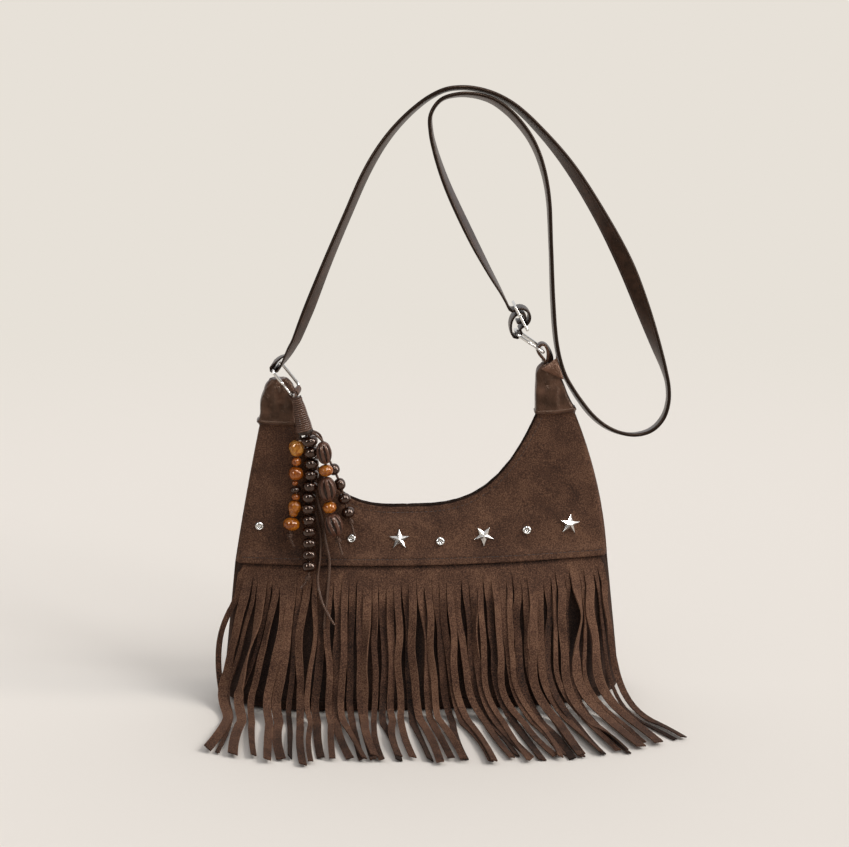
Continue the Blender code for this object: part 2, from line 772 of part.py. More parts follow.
def build_slider():
    """A flat frame with two windows that the strap is laced through."""
    half = slider_pitch + slider_bar / 2
    wide = strap_width / 2 + slider_play
    alongs = (-half, slider_bar - half, -slider_bar / 2, slider_bar / 2, half - slider_bar, half)
    widths = (-wide - slider_rail, -wide, wide, wide + slider_rail)
    plate = bmesh.new()
    spots = [[plate.verts.new(on_slider(a, -slider_wall / 2) + Vector((0.0, w, 0.0))) for w in widths]
             for a in alongs]
    faces = [plate.faces.new((spots[i][j], spots[i + 1][j], spots[i + 1][j + 1], spots[i][j + 1]))
             for i in range(5) for j in range(3) if j != 1 or i % 2 == 0]
    raised = bmesh.ops.extrude_face_region(plate, geom=faces, use_keep_orig=True)["geom"]
    corners = [item for item in raised if isinstance(item, bmesh.types.BMVert)]
    bmesh.ops.translate(plate, vec=slider_out * slider_wall, verts=corners)
    plate.verts.index_update()
    verts = [v.co.copy() for v in plate.verts]
    walls = [tuple(v.index for v in face.verts) for face in plate.faces]
    plate.free()
    item = finish("slider", verts, walls, steel())
    item.data.shade_flat()
    edge = item.modifiers.new("edge", "BEVEL")
    edge.width = 0.4 * mm
    edge.segments = 1
    edge.limit_method = "ANGLE"


# Studs and snap


def face_offset(z):
    """How far the outermost cloth stands off the bag's inner face on the front."""
    if z >= seam_height:
        return yoke_outer + yoke_rise(z)
    return header_outer + strip_lift + strip_out(z)


def on_face(x, z, lift):
    """A place off the front's outermost cloth."""
    return Vector((x, front_y(x, z, face_offset(z) + lift), z))


def seat_frame(x, z, facing, offset):
    """A frame on one of the bag's faces: its third axis points away from the cloth."""
    reach = 2 * mm

    def place(px, pz):
        return Vector((px, facing * (clearance / 2 + swell(px, pz) + offset), pz))

    across = (place(x + reach, z) - place(x - reach, z)).normalized()
    up = (place(x, z + reach) - place(x, z - reach)).normalized()
    return Matrix.Translation(place(x, z)) @ Matrix((across, up, across.cross(up))).transposed().to_4x4()


def turned(profile, sides, frame):
    """A solid of revolution: each profile point is a radius and a height; its ends close on the axis."""
    spins = [2 * pi * k / sides for k in range(sides)]
    rings = [[frame @ Vector((r * cos(a), r * sin(a), h)) for a in spins] for r, h in profile]
    return loft(rings)


def yoke_seat(along, up, radius):
    """A stud's seat on the cloth's highest place under it.

    It's given in shares of the seam's half-width and of the yoke's height.
    """
    z = blend(seam_height, mouth_height, up)
    frame = seat_frame(seam_half_width * along, z, -1, yoke_outer + clearance)
    proud = 0.0
    for k in range(12):
        rim = frame @ Vector((radius * cos(pi * k / 6), radius * sin(pi * k / 6), 0.0))
        cloth = front_y(rim.x, rim.z, yoke_outer + yoke_rise(rim.z) + clearance)
        proud = max(proud, (frame.inverted() @ Vector((rim.x, cloth, rim.z))).z)
    return frame @ Matrix.Translation((0.0, 0.0, proud))


def build_studs():
    """Dimpled round studs and five-pointed stars, alternating along the yoke."""
    radius = stud_diameter / 2
    for k, (along, up) in enumerate(((-0.866, 0.69), (-0.38, 0.476), (0.0915, 0.405), (0.556, 0.548))):
        frame = yoke_seat(along, up, radius)
        profile = ((radius, 0.0), (radius, stud_height * 0.35), (radius * 0.75, stud_height * 0.92),
                   (radius * 0.5, stud_height), (radius * 0.3, stud_height * 0.7))
        finish("stud_%d" % (k + 1), *turned(profile, 10, frame), steel())
    for k, (along, up, turn) in enumerate(((-0.127, 0.452, 90), (0.324, 0.476, -90), (0.789, 0.619, 84))):
        frame = yoke_seat(along, up, star_radius)
        rim = []
        for point in range(10):
            angle = radians(turn + 36 * point)
            reach = star_radius * (star_waist if point % 2 else 1.0)
            rim.append((reach * cos(angle), reach * sin(angle)))
        verts = [frame @ Vector((px, py, 0.0)) for px, py in rim]
        verts += [frame @ Vector((px, py, star_height * 0.2)) for px, py in rim]
        verts.append(frame @ Vector((0.0, 0.0, star_height)))
        faces = [tuple(range(10))]
        for point in range(10):
            after = (point + 1) % 10
            faces.append((point, after, 10 + after, 10 + point))
            faces.append((10 + point, 10 + after, 20))
        finish("star_%d" % (k + 1), verts, faces, steel())


def build_snap():
    """The two halves of a flat magnetic snap on the inner faces under the mouth."""
    radius = snap_diameter / 2
    for name, facing in (("snap_front", -1), ("snap_back", 1)):
        frame = seat_frame(mouth_centre, mouth_height - snap_drop, facing, -clearance)
        inwards = -1 if (frame.to_3x3() @ Vector((0.0, 0.0, 1.0))).y * facing > 0 else 1
        profile = ((radius, 0.0), (radius, inwards * snap_wall * 0.6), (radius * 0.8, inwards * snap_wall))
        finish(name, *turned(profile, 14, frame), steel())


# The charm


def axis_frame(centre, direction):
    """A frame whose third axis runs along a direction."""
    axis = direction.normalized()
    side = axis.cross(Vector((0.0, 1.0, 0.0))).normalized()
    return Matrix.Translation(centre) @ Matrix((side, axis.cross(side), axis)).transposed().to_4x4()


def build_loop():
    """The cord loop that hangs the charm on the left ring's near lower corner."""
    inwards = ring_bend * (1 - sqrt(0.5))
    wire = left_ring @ Vector((ring_half_length - inwards, inwards - ring_half_width, 0.0))
    tangent = left_ring.to_3x3() @ Vector((1.0, 1.0, 0.0)).normalized()
    down = charm_pivot - wire
    down -= tangent * down.dot(tangent)
    far = charm_pivot - down.normalized() * (wrap_top_radius + clearance + loop_cord / 2)
    near = wire - down.normalized() * (ring_wire / 2 + clearance + loop_cord / 2)
    middle = (near + far) / 2
    long_half = (far - near).length / 2
    short_half = ring_wire / 2 + 2 * clearance + loop_cord / 2
    side = tangent.cross(down).normalized()
    rings = []
    count = 14
    for k in range(count):
        angle = 2 * pi * k / count
        spoke = down.normalized() * cos(angle) * long_half + side * sin(angle) * short_half
        rings.append([middle + spoke * (1 + loop_cord / 2 * cos(2 * pi * j / 6) / spoke.length)
                      + tangent * loop_cord / 2 * sin(2 * pi * j / 6) for j in range(6)])
    finish("charm_loop", *loft(rings, closed=True), thong())


def build_wrap(hinge):
    """The whipped head: a round top on the hinge's axis, then turns of thong that widen to the foot."""
    frame = axis_frame(charm_pivot, wrap_foot - charm_pivot)
    length = (wrap_foot - charm_pivot).length
    profile = [(wrap_top_radius * cos(radians(a)), -wrap_top_radius * sin(radians(a))) for a in (75, 45, 18)]
    for k in range(wrap_turns):
        for part, rib in ((0.2, 0.0), (0.7, wrap_rib)):
            t = (k + part) / wrap_turns
            profile.append((blend(wrap_top_radius, wrap_foot_radius, t ** 0.8) - wrap_rib + rib, length * t))
    profile.append((wrap_foot_radius - wrap_rib, length))
    finish("charm_wrap", *turned(profile, 10, frame), thong(), origin=charm_pivot, parent=hinge)


def cord(name, points, radii, look, hinge):
    """A thong as a round curve through its points; a radius over 1 makes a knot or a fixed spacer."""
    shape = bpy.data.curves.new(name, "CURVE")
    shape.dimensions = "3D"
    shape.bevel_depth = thong_diameter / 2
    shape.bevel_resolution = 2
    shape.use_fill_caps = True
    line = shape.splines.new("POLY")
    line.points.add(len(points) - 1)
    for spot, point, radius in zip(line.points, points, radii):
        spot.co = (*(point - hinge.location), 1.0)
        spot.radius = radius
    shape.materials.append(look)
    item = bpy.data.objects.new(name, shape)
    bpy.context.collection.objects.link(item)
    item.parent = hinge


def bead(name, start, stop, diameter, look, hinge):
    """A bored bead between two places on its thong."""
    height = (stop - start).length
    radius = diameter / 2
    bore = thong_diameter / 2 + bead_play
    profile = ((bore, -0.5 * height), (radius * 0.8, -0.36 * height), (radius, 0.0),
               (radius * 0.8, 0.36 * height), (bore, 0.5 * height))
    frame = axis_frame((start + stop) / 2, stop - start)
    sides = 8
    spins = [2 * pi * k / sides for k in range(sides)]
    rings = [[frame @ Vector((r * cos(a), r * sin(a), h)) for a in spins] for r, h in profile]
    finish(name, *loft(rings, closed=True), look, origin=(start + stop) / 2, parent=hinge)


def below_wrap(x, z, lift):
    """A place in front of the cloth, in millimetres from the wrap's foot."""
    return on_face(wrap_foot.x + x * mm, wrap_foot.z + z * mm, lift * mm)


def build_strand(letter, start, route, beads, end, hinge):
    """One thong: beads are strung down it from the wrap, and a knot with a short end closes it.

    Each bead has a diameter, a length, the bare thong before it and a look; without a look it is a
    spacer that is fast on the thong.
    """
    path = smooth_path([start] + [below_wrap(*place) for place in route], bead_gap * 2)
    points, radii = [path[0]], [1.0]
    run = 0.0
    number = 0
    for diameter, length, bare, look in beads:
        first, last = run + bare, run + bare + length
        a, b = along_path(path, first), along_path(path, last)
        if look:
            number += 1
            inset = (b - a).normalized() * bead_gap / 2
            bead("bead_%s%d" % (letter, number), a + inset, b - inset, diameter, look, hinge)
            pieces = max(1, round(bare / bare_step)) if bare > 0 else 0
            for piece in range(pieces):
                points.append(along_path(path, run + bare * (piece + 1) / pieces))
                radii.append(1.0)
            points.append(b)
            radii.append(1.0)
        else:
            swollen = diameter / thong_diameter
            for share, radius in ((0.2, 1.0), (0.3, swollen * 0.8), (0.5, swollen), (0.7, swollen * 0.8), (0.8, 1.0)):
                points.append(a.lerp(b, share))
                radii.append(radius)
            points.append(b)
            radii.append(1.0)
        run = last
    knot = along_path(path, run + end * 0.35)
    down = (along_path(path, run + end * 0.6) - knot).normalized() * thong_diameter
    for shift, radius in ((-0.9, 1.0), (-0.5, 1.7), (0.5, 1.7), (0.9, 1.0)):
        points.append(knot + down * shift)
        radii.append(radius)
    points.append(path[-1])
    radii.append(1.0)
    cord("strand_" + letter, points, radii, thong(), hinge)


def build_charm():
    hinge = bpy.data.objects.new("charm_hinge", None)
    hinge.location = charm_pivot
    bpy.context.collection.objects.link(hinge)
    build_loop()
    build_wrap(hinge)
    amber = material("amber", (0.50, 0.20, 0.03), 0.25)
    tan = material("orange_brown", (0.37, 0.09, 0.025), 0.3)
    dark = material("black_brown", (0.022, 0.012, 0.010), 0.2)
    carved = material("carved_wood", (0.050, 0.022, 0.017), 0.35)
    foot = axis_frame(wrap_foot, wrap_foot - charm_pivot)

    def under(x, y):
        """Where a thong leaves the wrap's foot."""
        return foot @ Vector((x * mm, y * mm, clearance + 0.8 * mm))

    route = [(x, z, 6.8) for x, z in ((-6, -5.5), (-8, -14.5), (-6, -23.5), (-7, -33.5), (-8, -43.5), (-7, -51.5),
                                      (-9, -62.5), (-11, -73.5), (-12, -83), (-9, -90))]
    build_strand("a", under(-4.2, -0.5), route,
                 ((9.0 * mm, 12.8 * mm, 8.2 * mm, amber), (7.4 * mm, 7.6 * mm, 0.0, tan),
                  (11.2 * mm, 10.9 * mm, 0.0, tan), (4.6 * mm, 4.2 * mm, 0.0, None),
                  (8.2 * mm, 6.0 * mm, 0.0, dark), (6.4 * mm, 5.6 * mm, 0.0, None),
                  (9.7 * mm, 13.2 * mm, 0.0, amber), (12.6 * mm, 10.5 * mm, 0.0, amber)), 10 * mm, hinge)
    route = [(x, z, 8.0) for x, z in ((3.4, -8.5), (4.5, -17.5), (5, -27.5), (4, -40.5), (2, -56.5), (2.5, -74.5),
                                      (2, -94.5), (1, -110.5), (-5, -119.5))]
    build_strand("b", under(2.6, -2.2), route,
                 ((10.9 * mm, 8.8 * mm, 3.0 * mm, dark),) + ((10.9 * mm, 8.8 * mm, 0.0, dark),) * 11, 12 * mm, hinge)
    route = [(x, z, 12.0) for x, z in ((13.5, -7.5), (15.5, -16.5), (16, -30.5), (17, -45.5), (18, -60),
                                       (22, -73.5), (26, -87.5))]
    build_strand("c", under(5.4, 1.4), route,
                 ((10.5 * mm, 16.2 * mm, 10.5 * mm, carved), (9.8 * mm, 8.6 * mm, 0.0, amber),
                  (13.0 * mm, 18.5 * mm, 0.0, carved), (9.8 * mm, 8.6 * mm, 0.0, amber),
                  (14.0 * mm, 17.4 * mm, 0.0, carved)), 9 * mm, hinge)
    route = ((11.6, -5.5, 3.0), (15, -17.5, 3.2), (21, -30.5, 3.8), (26, -42.5, 5.0), (29, -54.5, 5.6),
             (32, -65.5, 5.8), (34.5, -75.5, 5.6), (36.5, -82, 5.6))
    build_strand("d", under(5.6, -2.6), route,
                 ((9.0 * mm, 9.2 * mm, 33 * mm, dark), (8.4 * mm, 9.8 * mm, 2.6 * mm, dark),
                  (9.6 * mm, 9.2 * mm, 2.2 * mm, dark), (10.2 * mm, 9.2 * mm, 1.8 * mm, dark)), 8 * mm, hinge)
    tails = (("tail_1", under(2.6, -5.9), ((6, -6.5, 1.2), (7.8, -16.5, 1.6), (8.3, -28.5, 1.9), (7, -45.5, 1.9),
                                           (9, -58.5, 1.9), (12, -70.5, 1.9), (14, -85.5, 1.9), (17, -100.5, 1.9),
                                           (16, -116.5, 1.9), (14, -133.5, 1.9), (12, -149.5, 1.9))),
             ("tail_2", under(-0.8, -6.2), ((1.5, -6.5, 1.0), (2.5, -18.5, 1.2), (4, -32.5, 1.3), (4.3, -46.5, 1.3),
                                            (5.7, -58.5, 1.3), (8, -70.5, 1.3), (10.5, -83.5, 1.3), (10, -98.5, 1.3),
                                            (8, -115.5, 2.6), (11, -129.5, 4.2), (16, -139.5, 4.6), (20, -145.5, 4.6))))
    for name, start, route in tails:
        path = smooth_path([start] + [below_wrap(*place) for place in route], tail_step)
        cord(name, path, [1.0] * len(path), thong(), hinge)


def main():
    clear_scene()
    build_panels()
    build_base()
    build_fringe()
    build_cap("left_cap", -1, left_cap_height)
    build_cap("right_cap", 1, right_cap_height)
    build_ring("left", left_ring)
    build_ring("right", right_ring)
    build_tabs()
    build_strap()
    build_slider()
    build_studs()
    build_snap()
    build_charm()


main()
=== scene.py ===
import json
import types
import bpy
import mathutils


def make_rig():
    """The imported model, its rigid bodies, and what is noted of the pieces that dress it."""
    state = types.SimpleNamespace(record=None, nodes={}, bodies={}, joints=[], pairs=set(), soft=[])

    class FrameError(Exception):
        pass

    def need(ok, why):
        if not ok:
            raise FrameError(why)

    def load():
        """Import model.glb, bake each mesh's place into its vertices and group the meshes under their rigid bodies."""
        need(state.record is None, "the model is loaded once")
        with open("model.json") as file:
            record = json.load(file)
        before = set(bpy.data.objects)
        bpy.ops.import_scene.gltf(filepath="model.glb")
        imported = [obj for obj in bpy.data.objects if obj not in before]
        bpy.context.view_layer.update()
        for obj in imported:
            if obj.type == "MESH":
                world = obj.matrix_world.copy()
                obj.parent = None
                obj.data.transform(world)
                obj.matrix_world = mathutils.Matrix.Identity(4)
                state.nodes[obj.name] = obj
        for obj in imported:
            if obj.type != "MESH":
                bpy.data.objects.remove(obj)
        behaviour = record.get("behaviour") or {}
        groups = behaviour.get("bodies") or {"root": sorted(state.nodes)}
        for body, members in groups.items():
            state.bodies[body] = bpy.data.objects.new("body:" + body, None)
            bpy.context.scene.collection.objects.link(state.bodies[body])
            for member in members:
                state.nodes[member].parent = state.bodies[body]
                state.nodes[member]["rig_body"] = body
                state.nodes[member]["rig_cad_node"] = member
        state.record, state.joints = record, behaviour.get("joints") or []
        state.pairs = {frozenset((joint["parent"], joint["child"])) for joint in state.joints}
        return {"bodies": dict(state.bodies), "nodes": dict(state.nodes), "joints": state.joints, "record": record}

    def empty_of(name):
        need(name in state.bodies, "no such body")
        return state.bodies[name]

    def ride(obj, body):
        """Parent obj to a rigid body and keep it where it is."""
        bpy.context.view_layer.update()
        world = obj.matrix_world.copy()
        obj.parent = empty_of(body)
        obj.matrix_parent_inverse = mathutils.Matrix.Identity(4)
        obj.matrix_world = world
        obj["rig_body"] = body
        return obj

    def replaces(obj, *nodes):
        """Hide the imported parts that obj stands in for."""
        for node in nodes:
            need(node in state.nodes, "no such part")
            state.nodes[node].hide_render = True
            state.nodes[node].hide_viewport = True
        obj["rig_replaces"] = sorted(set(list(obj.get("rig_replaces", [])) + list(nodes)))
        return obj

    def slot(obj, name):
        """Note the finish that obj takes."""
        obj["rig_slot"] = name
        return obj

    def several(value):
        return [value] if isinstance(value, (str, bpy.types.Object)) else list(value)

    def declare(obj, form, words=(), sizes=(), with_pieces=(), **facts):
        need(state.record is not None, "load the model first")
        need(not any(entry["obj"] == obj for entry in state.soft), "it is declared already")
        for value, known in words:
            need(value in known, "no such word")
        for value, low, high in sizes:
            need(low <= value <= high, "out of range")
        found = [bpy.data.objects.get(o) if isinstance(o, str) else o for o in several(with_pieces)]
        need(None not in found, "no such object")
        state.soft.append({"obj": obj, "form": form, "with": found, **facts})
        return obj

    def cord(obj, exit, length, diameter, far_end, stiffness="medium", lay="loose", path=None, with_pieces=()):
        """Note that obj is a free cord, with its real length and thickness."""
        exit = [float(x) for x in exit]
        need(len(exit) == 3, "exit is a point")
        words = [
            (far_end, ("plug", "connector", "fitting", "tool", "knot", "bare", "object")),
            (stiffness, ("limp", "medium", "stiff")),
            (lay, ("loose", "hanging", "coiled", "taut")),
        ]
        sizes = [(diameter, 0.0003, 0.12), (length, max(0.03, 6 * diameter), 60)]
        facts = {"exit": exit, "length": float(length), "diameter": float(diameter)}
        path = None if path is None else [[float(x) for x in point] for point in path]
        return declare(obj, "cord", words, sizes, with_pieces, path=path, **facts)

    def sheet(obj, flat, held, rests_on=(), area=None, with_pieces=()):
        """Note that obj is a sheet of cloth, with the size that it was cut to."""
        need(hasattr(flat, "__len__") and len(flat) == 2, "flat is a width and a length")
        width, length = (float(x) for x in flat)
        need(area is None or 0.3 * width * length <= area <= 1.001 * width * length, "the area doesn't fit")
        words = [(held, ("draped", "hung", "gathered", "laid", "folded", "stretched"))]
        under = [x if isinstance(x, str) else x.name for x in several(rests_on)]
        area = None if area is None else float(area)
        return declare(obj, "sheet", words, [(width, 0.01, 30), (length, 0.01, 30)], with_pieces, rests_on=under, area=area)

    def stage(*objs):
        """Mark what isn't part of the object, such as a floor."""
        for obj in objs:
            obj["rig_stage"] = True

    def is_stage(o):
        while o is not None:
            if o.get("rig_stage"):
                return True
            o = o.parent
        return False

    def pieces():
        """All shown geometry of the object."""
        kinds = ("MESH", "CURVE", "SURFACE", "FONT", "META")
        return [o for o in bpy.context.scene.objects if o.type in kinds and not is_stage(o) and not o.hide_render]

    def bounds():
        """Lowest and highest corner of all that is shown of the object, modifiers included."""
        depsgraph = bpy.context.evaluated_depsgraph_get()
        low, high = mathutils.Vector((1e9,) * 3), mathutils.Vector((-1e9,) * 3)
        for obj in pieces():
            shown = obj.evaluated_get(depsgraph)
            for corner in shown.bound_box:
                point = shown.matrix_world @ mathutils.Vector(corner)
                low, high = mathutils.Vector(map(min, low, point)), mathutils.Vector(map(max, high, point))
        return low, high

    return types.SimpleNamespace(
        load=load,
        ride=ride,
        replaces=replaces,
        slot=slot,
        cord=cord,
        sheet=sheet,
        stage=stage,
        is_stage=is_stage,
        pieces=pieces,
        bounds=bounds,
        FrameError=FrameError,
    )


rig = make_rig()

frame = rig.load()

import json
from math import atan2, cos, exp, hypot, pi, radians, sin, sqrt

import bmesh
import bpy
import numpy as np
from mathutils import Matrix, Vector, noise

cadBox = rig.bounds()
mm = 0.001
backWay = Vector((0.0, 1.0, 0.0))  # from the bag's front to its back
print("frame loaded")


# small helpers that every piece uses

def mix(a, b, t):
    return a + (b - a) * t


def limit(t, low=0.0, high=1.0):
    return max(low, min(high, t))


def ease(t):  # smooth start and stop between 0 and 1
    t = limit(t)
    return t * t * (3 - 2 * t)


def fromTable(table, at):  # straight lines between (place, value) pairs
    for (a, low), (b, high) in zip(table, table[1:]):
        if at <= b:
            return mix(low, high, limit((at - a) / (b - a)))
    return table[-1][1]


def drift(seed, at, step):  # a slow wander between -1 and 1
    return noise.noise(Vector((seed * 7.31 + 0.5, at / step, 3.7))) * 1.6


def letGo():  # nothing selected, so that the next operator reaches its own piece only
    if bpy.context.object and bpy.context.object.mode != "OBJECT":
        toObject()
    bpy.ops.object.select_all(action="DESELECT")


def takeUp(piece):
    letGo()
    piece.select_set(True)
    bpy.context.view_layer.objects.active = piece


def applyAll(piece):
    takeUp(piece)
    for step in list(piece.modifiers):
        bpy.ops.object.modifier_apply(modifier=step.name)


def settle(piece):  # its place goes into its mesh, and its origin to the frame's
    takeUp(piece)
    bpy.ops.object.transform_apply(location=True, rotation=True, scale=True)


def softenFaces(piece, angle):
    takeUp(piece)
    bpy.ops.object.shade_smooth_by_angle(angle=radians(angle))


def toEdit(kind, action):
    bpy.ops.object.mode_set(mode="EDIT")
    bpy.ops.mesh.select_mode(type=kind)
    bpy.ops.mesh.select_all(action=action)


def turnOutwards():  # ends the editing with every face pointing outwards
    bpy.ops.mesh.select_all(action="SELECT")
    bpy.ops.mesh.normals_make_consistent(inside=False)
    toObject()


def thicken(piece, wall):
    step = piece.modifiers.new("thickness", "SOLIDIFY")
    step.thickness = wall
    step.offset = 0.0


def roundEdges(piece, width, segments):
    step = piece.modifiers.new("rounded", "BEVEL")
    step.width = width
    step.segments = segments
    step.limit_method = "ANGLE"


def toObject():
    bpy.ops.object.mode_set(mode="OBJECT")


def handOver(piece, slot, node=None, body="root"):  # its body, the solid that it stands for, and its kind of material
    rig.ride(piece, body)
    if node:
        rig.replaces(piece, node)
    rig.slot(piece, slot)
    return piece


def seatAt(piece, seat, angle, look, slot, node, body="root"):  # puts a piece made at the middle where it belongs
    piece.matrix_world = seat
    settle(piece)
    softenFaces(piece, angle)
    piece.data.materials.append(look)
    return handOver(piece, slot, node, body)


def meshPiece(name, points, faces, look, uv=None, marks=None):
    mesh = bpy.data.meshes.new(name)
    mesh.from_pydata([tuple(p) for p in points], [], faces)
    if uv is not None:
        layer = mesh.uv_layers.new(name="cut")
        spots = np.empty(len(mesh.loops), dtype=np.int32)
        mesh.loops.foreach_get("vertex_index", spots)
        layer.data.foreach_set("uv", np.asarray(uv, dtype=np.float32)[spots].ravel())
    for key, values in (marks or {}).items():
        mesh.attributes.new(key, "FLOAT", "POINT").data.foreach_set("value", np.asarray(values, dtype=np.float32))
    mesh.materials.append(look)
    mesh.shade_smooth()
    piece = bpy.data.objects.new(name, mesh)
    bpy.context.collection.objects.link(piece)
    return piece


def gridFaces(rows, columns, start=0, flip=False, roll=False):
    faces = []
    for r in range(rows - 1):
        for c in range(columns if roll else columns - 1):
            a = start + r * columns + c
            b = start + r * columns + (c + 1) % columns
            face = (a, b, b + columns, a + columns)
            faces.append(face[::-1] if flip else face)
    return faces


def closeUp(piece, reach=0.02 * mm):  # merges doubles and points every face outwards
    work = bmesh.new()
    work.from_mesh(piece.data)
    bmesh.ops.remove_doubles(work, verts=work.verts, dist=reach)
    bmesh.ops.dissolve_degenerate(work, edges=work.edges, dist=reach / 2)
    bmesh.ops.recalc_face_normals(work, faces=work.faces)
    work.to_mesh(piece.data)
    work.free()
    piece.data.shade_smooth()


def loopSkin(name, loops, look, angle, uv=None, reach=0.02 * mm):  # equal loops joined to a skin, both ends filled
    points = [p for loop in loops for p in loop]
    count = len(loops[0])
    faces = gridFaces(len(loops), count, roll=True)
    faces += [tuple(range(count))[::-1], tuple(range(len(points) - count, len(points)))]
    piece = meshPiece(name, points, faces, look, uv=uv)
    closeUp(piece, reach)
    softenFaces(piece, angle)
    return piece


def bentLine(name, points, look, depth, radii, resolution, closed=False):  # a line with a round bevel
    line = bpy.data.curves.new(name, "CURVE")
    line.dimensions = "3D"
    line.bevel_depth = depth
    line.bevel_resolution = resolution
    line.use_fill_caps = True
    spline = line.splines.new("POLY")
    spline.points.add(len(points) - 1)
    for spot, point, radius in zip(spline.points, points, radii):
        spot.co = (*point, 1.0)
        spot.radius = radius
    spline.use_smooth = True
    spline.use_cyclic_u = closed
    line.materials.append(look)
    piece = bpy.data.objects.new(name, line)
    bpy.context.collection.objects.link(piece)
    return piece


def wayAlong(points, at):  # the way that a line runs at one of its places
    return points[min(len(points) - 1, at + 1)] - points[max(0, at - 1)]


def curveThrough(before, a, b, after, t):  # from a at 0 to b at 1
    return 0.5 * (2 * a + (b - before) * t + (2 * before - 5 * a + 4 * b - after) * t ** 2
                  + (3 * a - before - 3 * b + after) * t ** 3)


def smoothPath(points, step):  # evenly spaced points on a smooth curve through the chosen ones
    fine = []
    last = len(points) - 1
    for k in range(last):
        quad = [points[max(0, k - 1)], points[k], points[k + 1], points[min(last, k + 2)]]
        fine += [curveThrough(*quad, part / 10) for part in range(10)]
    fine.append(points[last])
    return evenPath(fine, max(2, round(pathLength(fine) / step)))


def pathLength(points):
    return sum((b - a).to_3d().length for a, b in zip(points, points[1:]))


def evenPath(points, count):
    runs = [0.0]
    for a, b in zip(points, points[1:]):
        runs.append(runs[-1] + (b - a).to_3d().length)
    made = []
    at = 0
    for k in range(count + 1):
        want = runs[-1] * k / count
        while at < len(runs) - 2 and runs[at + 1] < want:
            at += 1
        span = runs[at + 1] - runs[at]
        made.append(points[at].lerp(points[at + 1], limit((want - runs[at]) / span) if span > 0 else 0.0))
    return made


def alongPath(points, distance):
    for a, b in zip(points, points[1:]):
        run = (b - a).to_3d().length
        if distance <= run:
            return a.lerp(b, distance / run)
        distance -= run
    return points[-1]


def seatFrom(place, first, second, third):  # where a piece sits and the ways of its own axes
    return Matrix.Translation(place) @ Matrix((first, second, third)).transposed().to_4x4()


def axisFrame(centre, direction):  # a seat whose third axis runs along a direction
    axis = direction.normalized()
    side = axis.cross(backWay).normalized()
    return seatFrom(centre, side, axis.cross(side), axis)


# the photographer's camera comes first, because the cords are measured against its view

photoCamera = {"place": (-0.10071, -1.63092, 0.68338), "target": (0.0019, 0.0, 0.2148), "lens": 96.113}

bpy.ops.object.camera_add(location=photoCamera["place"])
camera = bpy.context.object
camera.name = "photo_camera"
camera.data.lens = photoCamera["lens"]
camera.data.sensor_width = 36
camera.data.clip_start = 0.05
aim = Vector(photoCamera["target"]) - Vector(photoCamera["place"])
camera.rotation_euler = aim.to_track_quat("-Z", "Y").to_euler()
bpy.context.scene.camera = camera


# materials

def tone(code):  # sRGB hex to the linear colour that the nodes expect
    parts = [int(code[i:i + 2], 16) / 255 for i in (1, 3, 5)]
    return [p / 12.92 if p <= 0.04045 else ((p + 0.055) / 1.055) ** 2.4 for p in parts] + [1.0]


def addNode(look, kind, values=None, links=None, **settings):
    node = look.node_tree.nodes.new(kind)
    for key, value in settings.items():
        setattr(node, key, value)
    for key, value in (values or {}).items():
        node.inputs[key].default_value = value
    for key, source in (links or {}).items():
        look.node_tree.links.new(source, node.inputs[key])
    return node


def newLook(name, **values):
    look = bpy.data.materials.new(name)
    look.use_nodes = True
    shader = look.node_tree.nodes["Principled BSDF"]
    for key, value in values.items():
        shader.inputs[key.replace("_", " ")].default_value = value
    return look, shader


def feed(look, shader, **sources):
    for key, source in sources.items():
        look.node_tree.links.new(source, shader.inputs[key.replace("_", " ")])


def relief(look, shader, height, strength, deep):
    bump = addNode(look, "ShaderNodeBump", {"Strength": strength, "Distance": deep}, {"Height": height})
    feed(look, shader, Normal=bump.outputs["Normal"])


def maths(look, operation, *terms):  # one step of reckoning: numbers are set on its sockets, the rest is linked
    values = {at: term for at, term in enumerate(terms) if isinstance(term, float)}
    links = {at: term for at, term in enumerate(terms) if not isinstance(term, float)}
    return addNode(look, "ShaderNodeMath", values, links, operation=operation).outputs[0]


def remap(look, source, start, stop, low=0.0, high=1.0, kind="LINEAR"):
    values = {"From Min": start, "From Max": stop, "To Min": low, "To Max": high}
    return addNode(look, "ShaderNodeMapRange", values, {"Value": source}, interpolation_type=kind).outputs[0]


def paintOver(look, below, share, colour):
    links = {"Factor": share, "A": below}
    return addNode(look, "ShaderNodeMix", {"B": tone(colour)}, links, data_type="RGBA").outputs["Result"]


def ramp(look, source, stops):  # stops are places with a hex colour or a grey level
    node = addNode(look, "ShaderNodeValToRGB", links={"Fac": source})
    ends = node.color_ramp.elements
    while len(ends) < len(stops):
        ends.new(0.5)
    for end, (at, colour) in zip(ends, stops):
        end.position = at
        end.color = tone(colour) if isinstance(colour, str) else (colour, colour, colour, 1.0)
    return node.outputs["Color"]


def objectPlace(look):
    return addNode(look, "ShaderNodeTexCoord").outputs["Object"]


def pattern(look, kind, size, values=None, place=None, out="Fac", **settings):  # a texture of a real size
    node = addNode(look, "ShaderNodeTex" + kind, {"Scale": 1.0 / size, **(values or {})},
                   {"Vector": place or objectPlace(look)}, **settings)
    return node.outputs[out]


def ownMark(look, name):
    return addNode(look, "ShaderNodeAttribute", attribute_name=name).outputs["Fac"]


def cutPlace(look):
    flat = addNode(look, "ShaderNodeUVMap", uv_map="cut").outputs["UV"]
    return addNode(look, "ShaderNodeSeparateXYZ", links={"Vector": flat}).outputs


warmShine = tone("#F3CDB2")  # dyed and waxed faces tint what they reflect


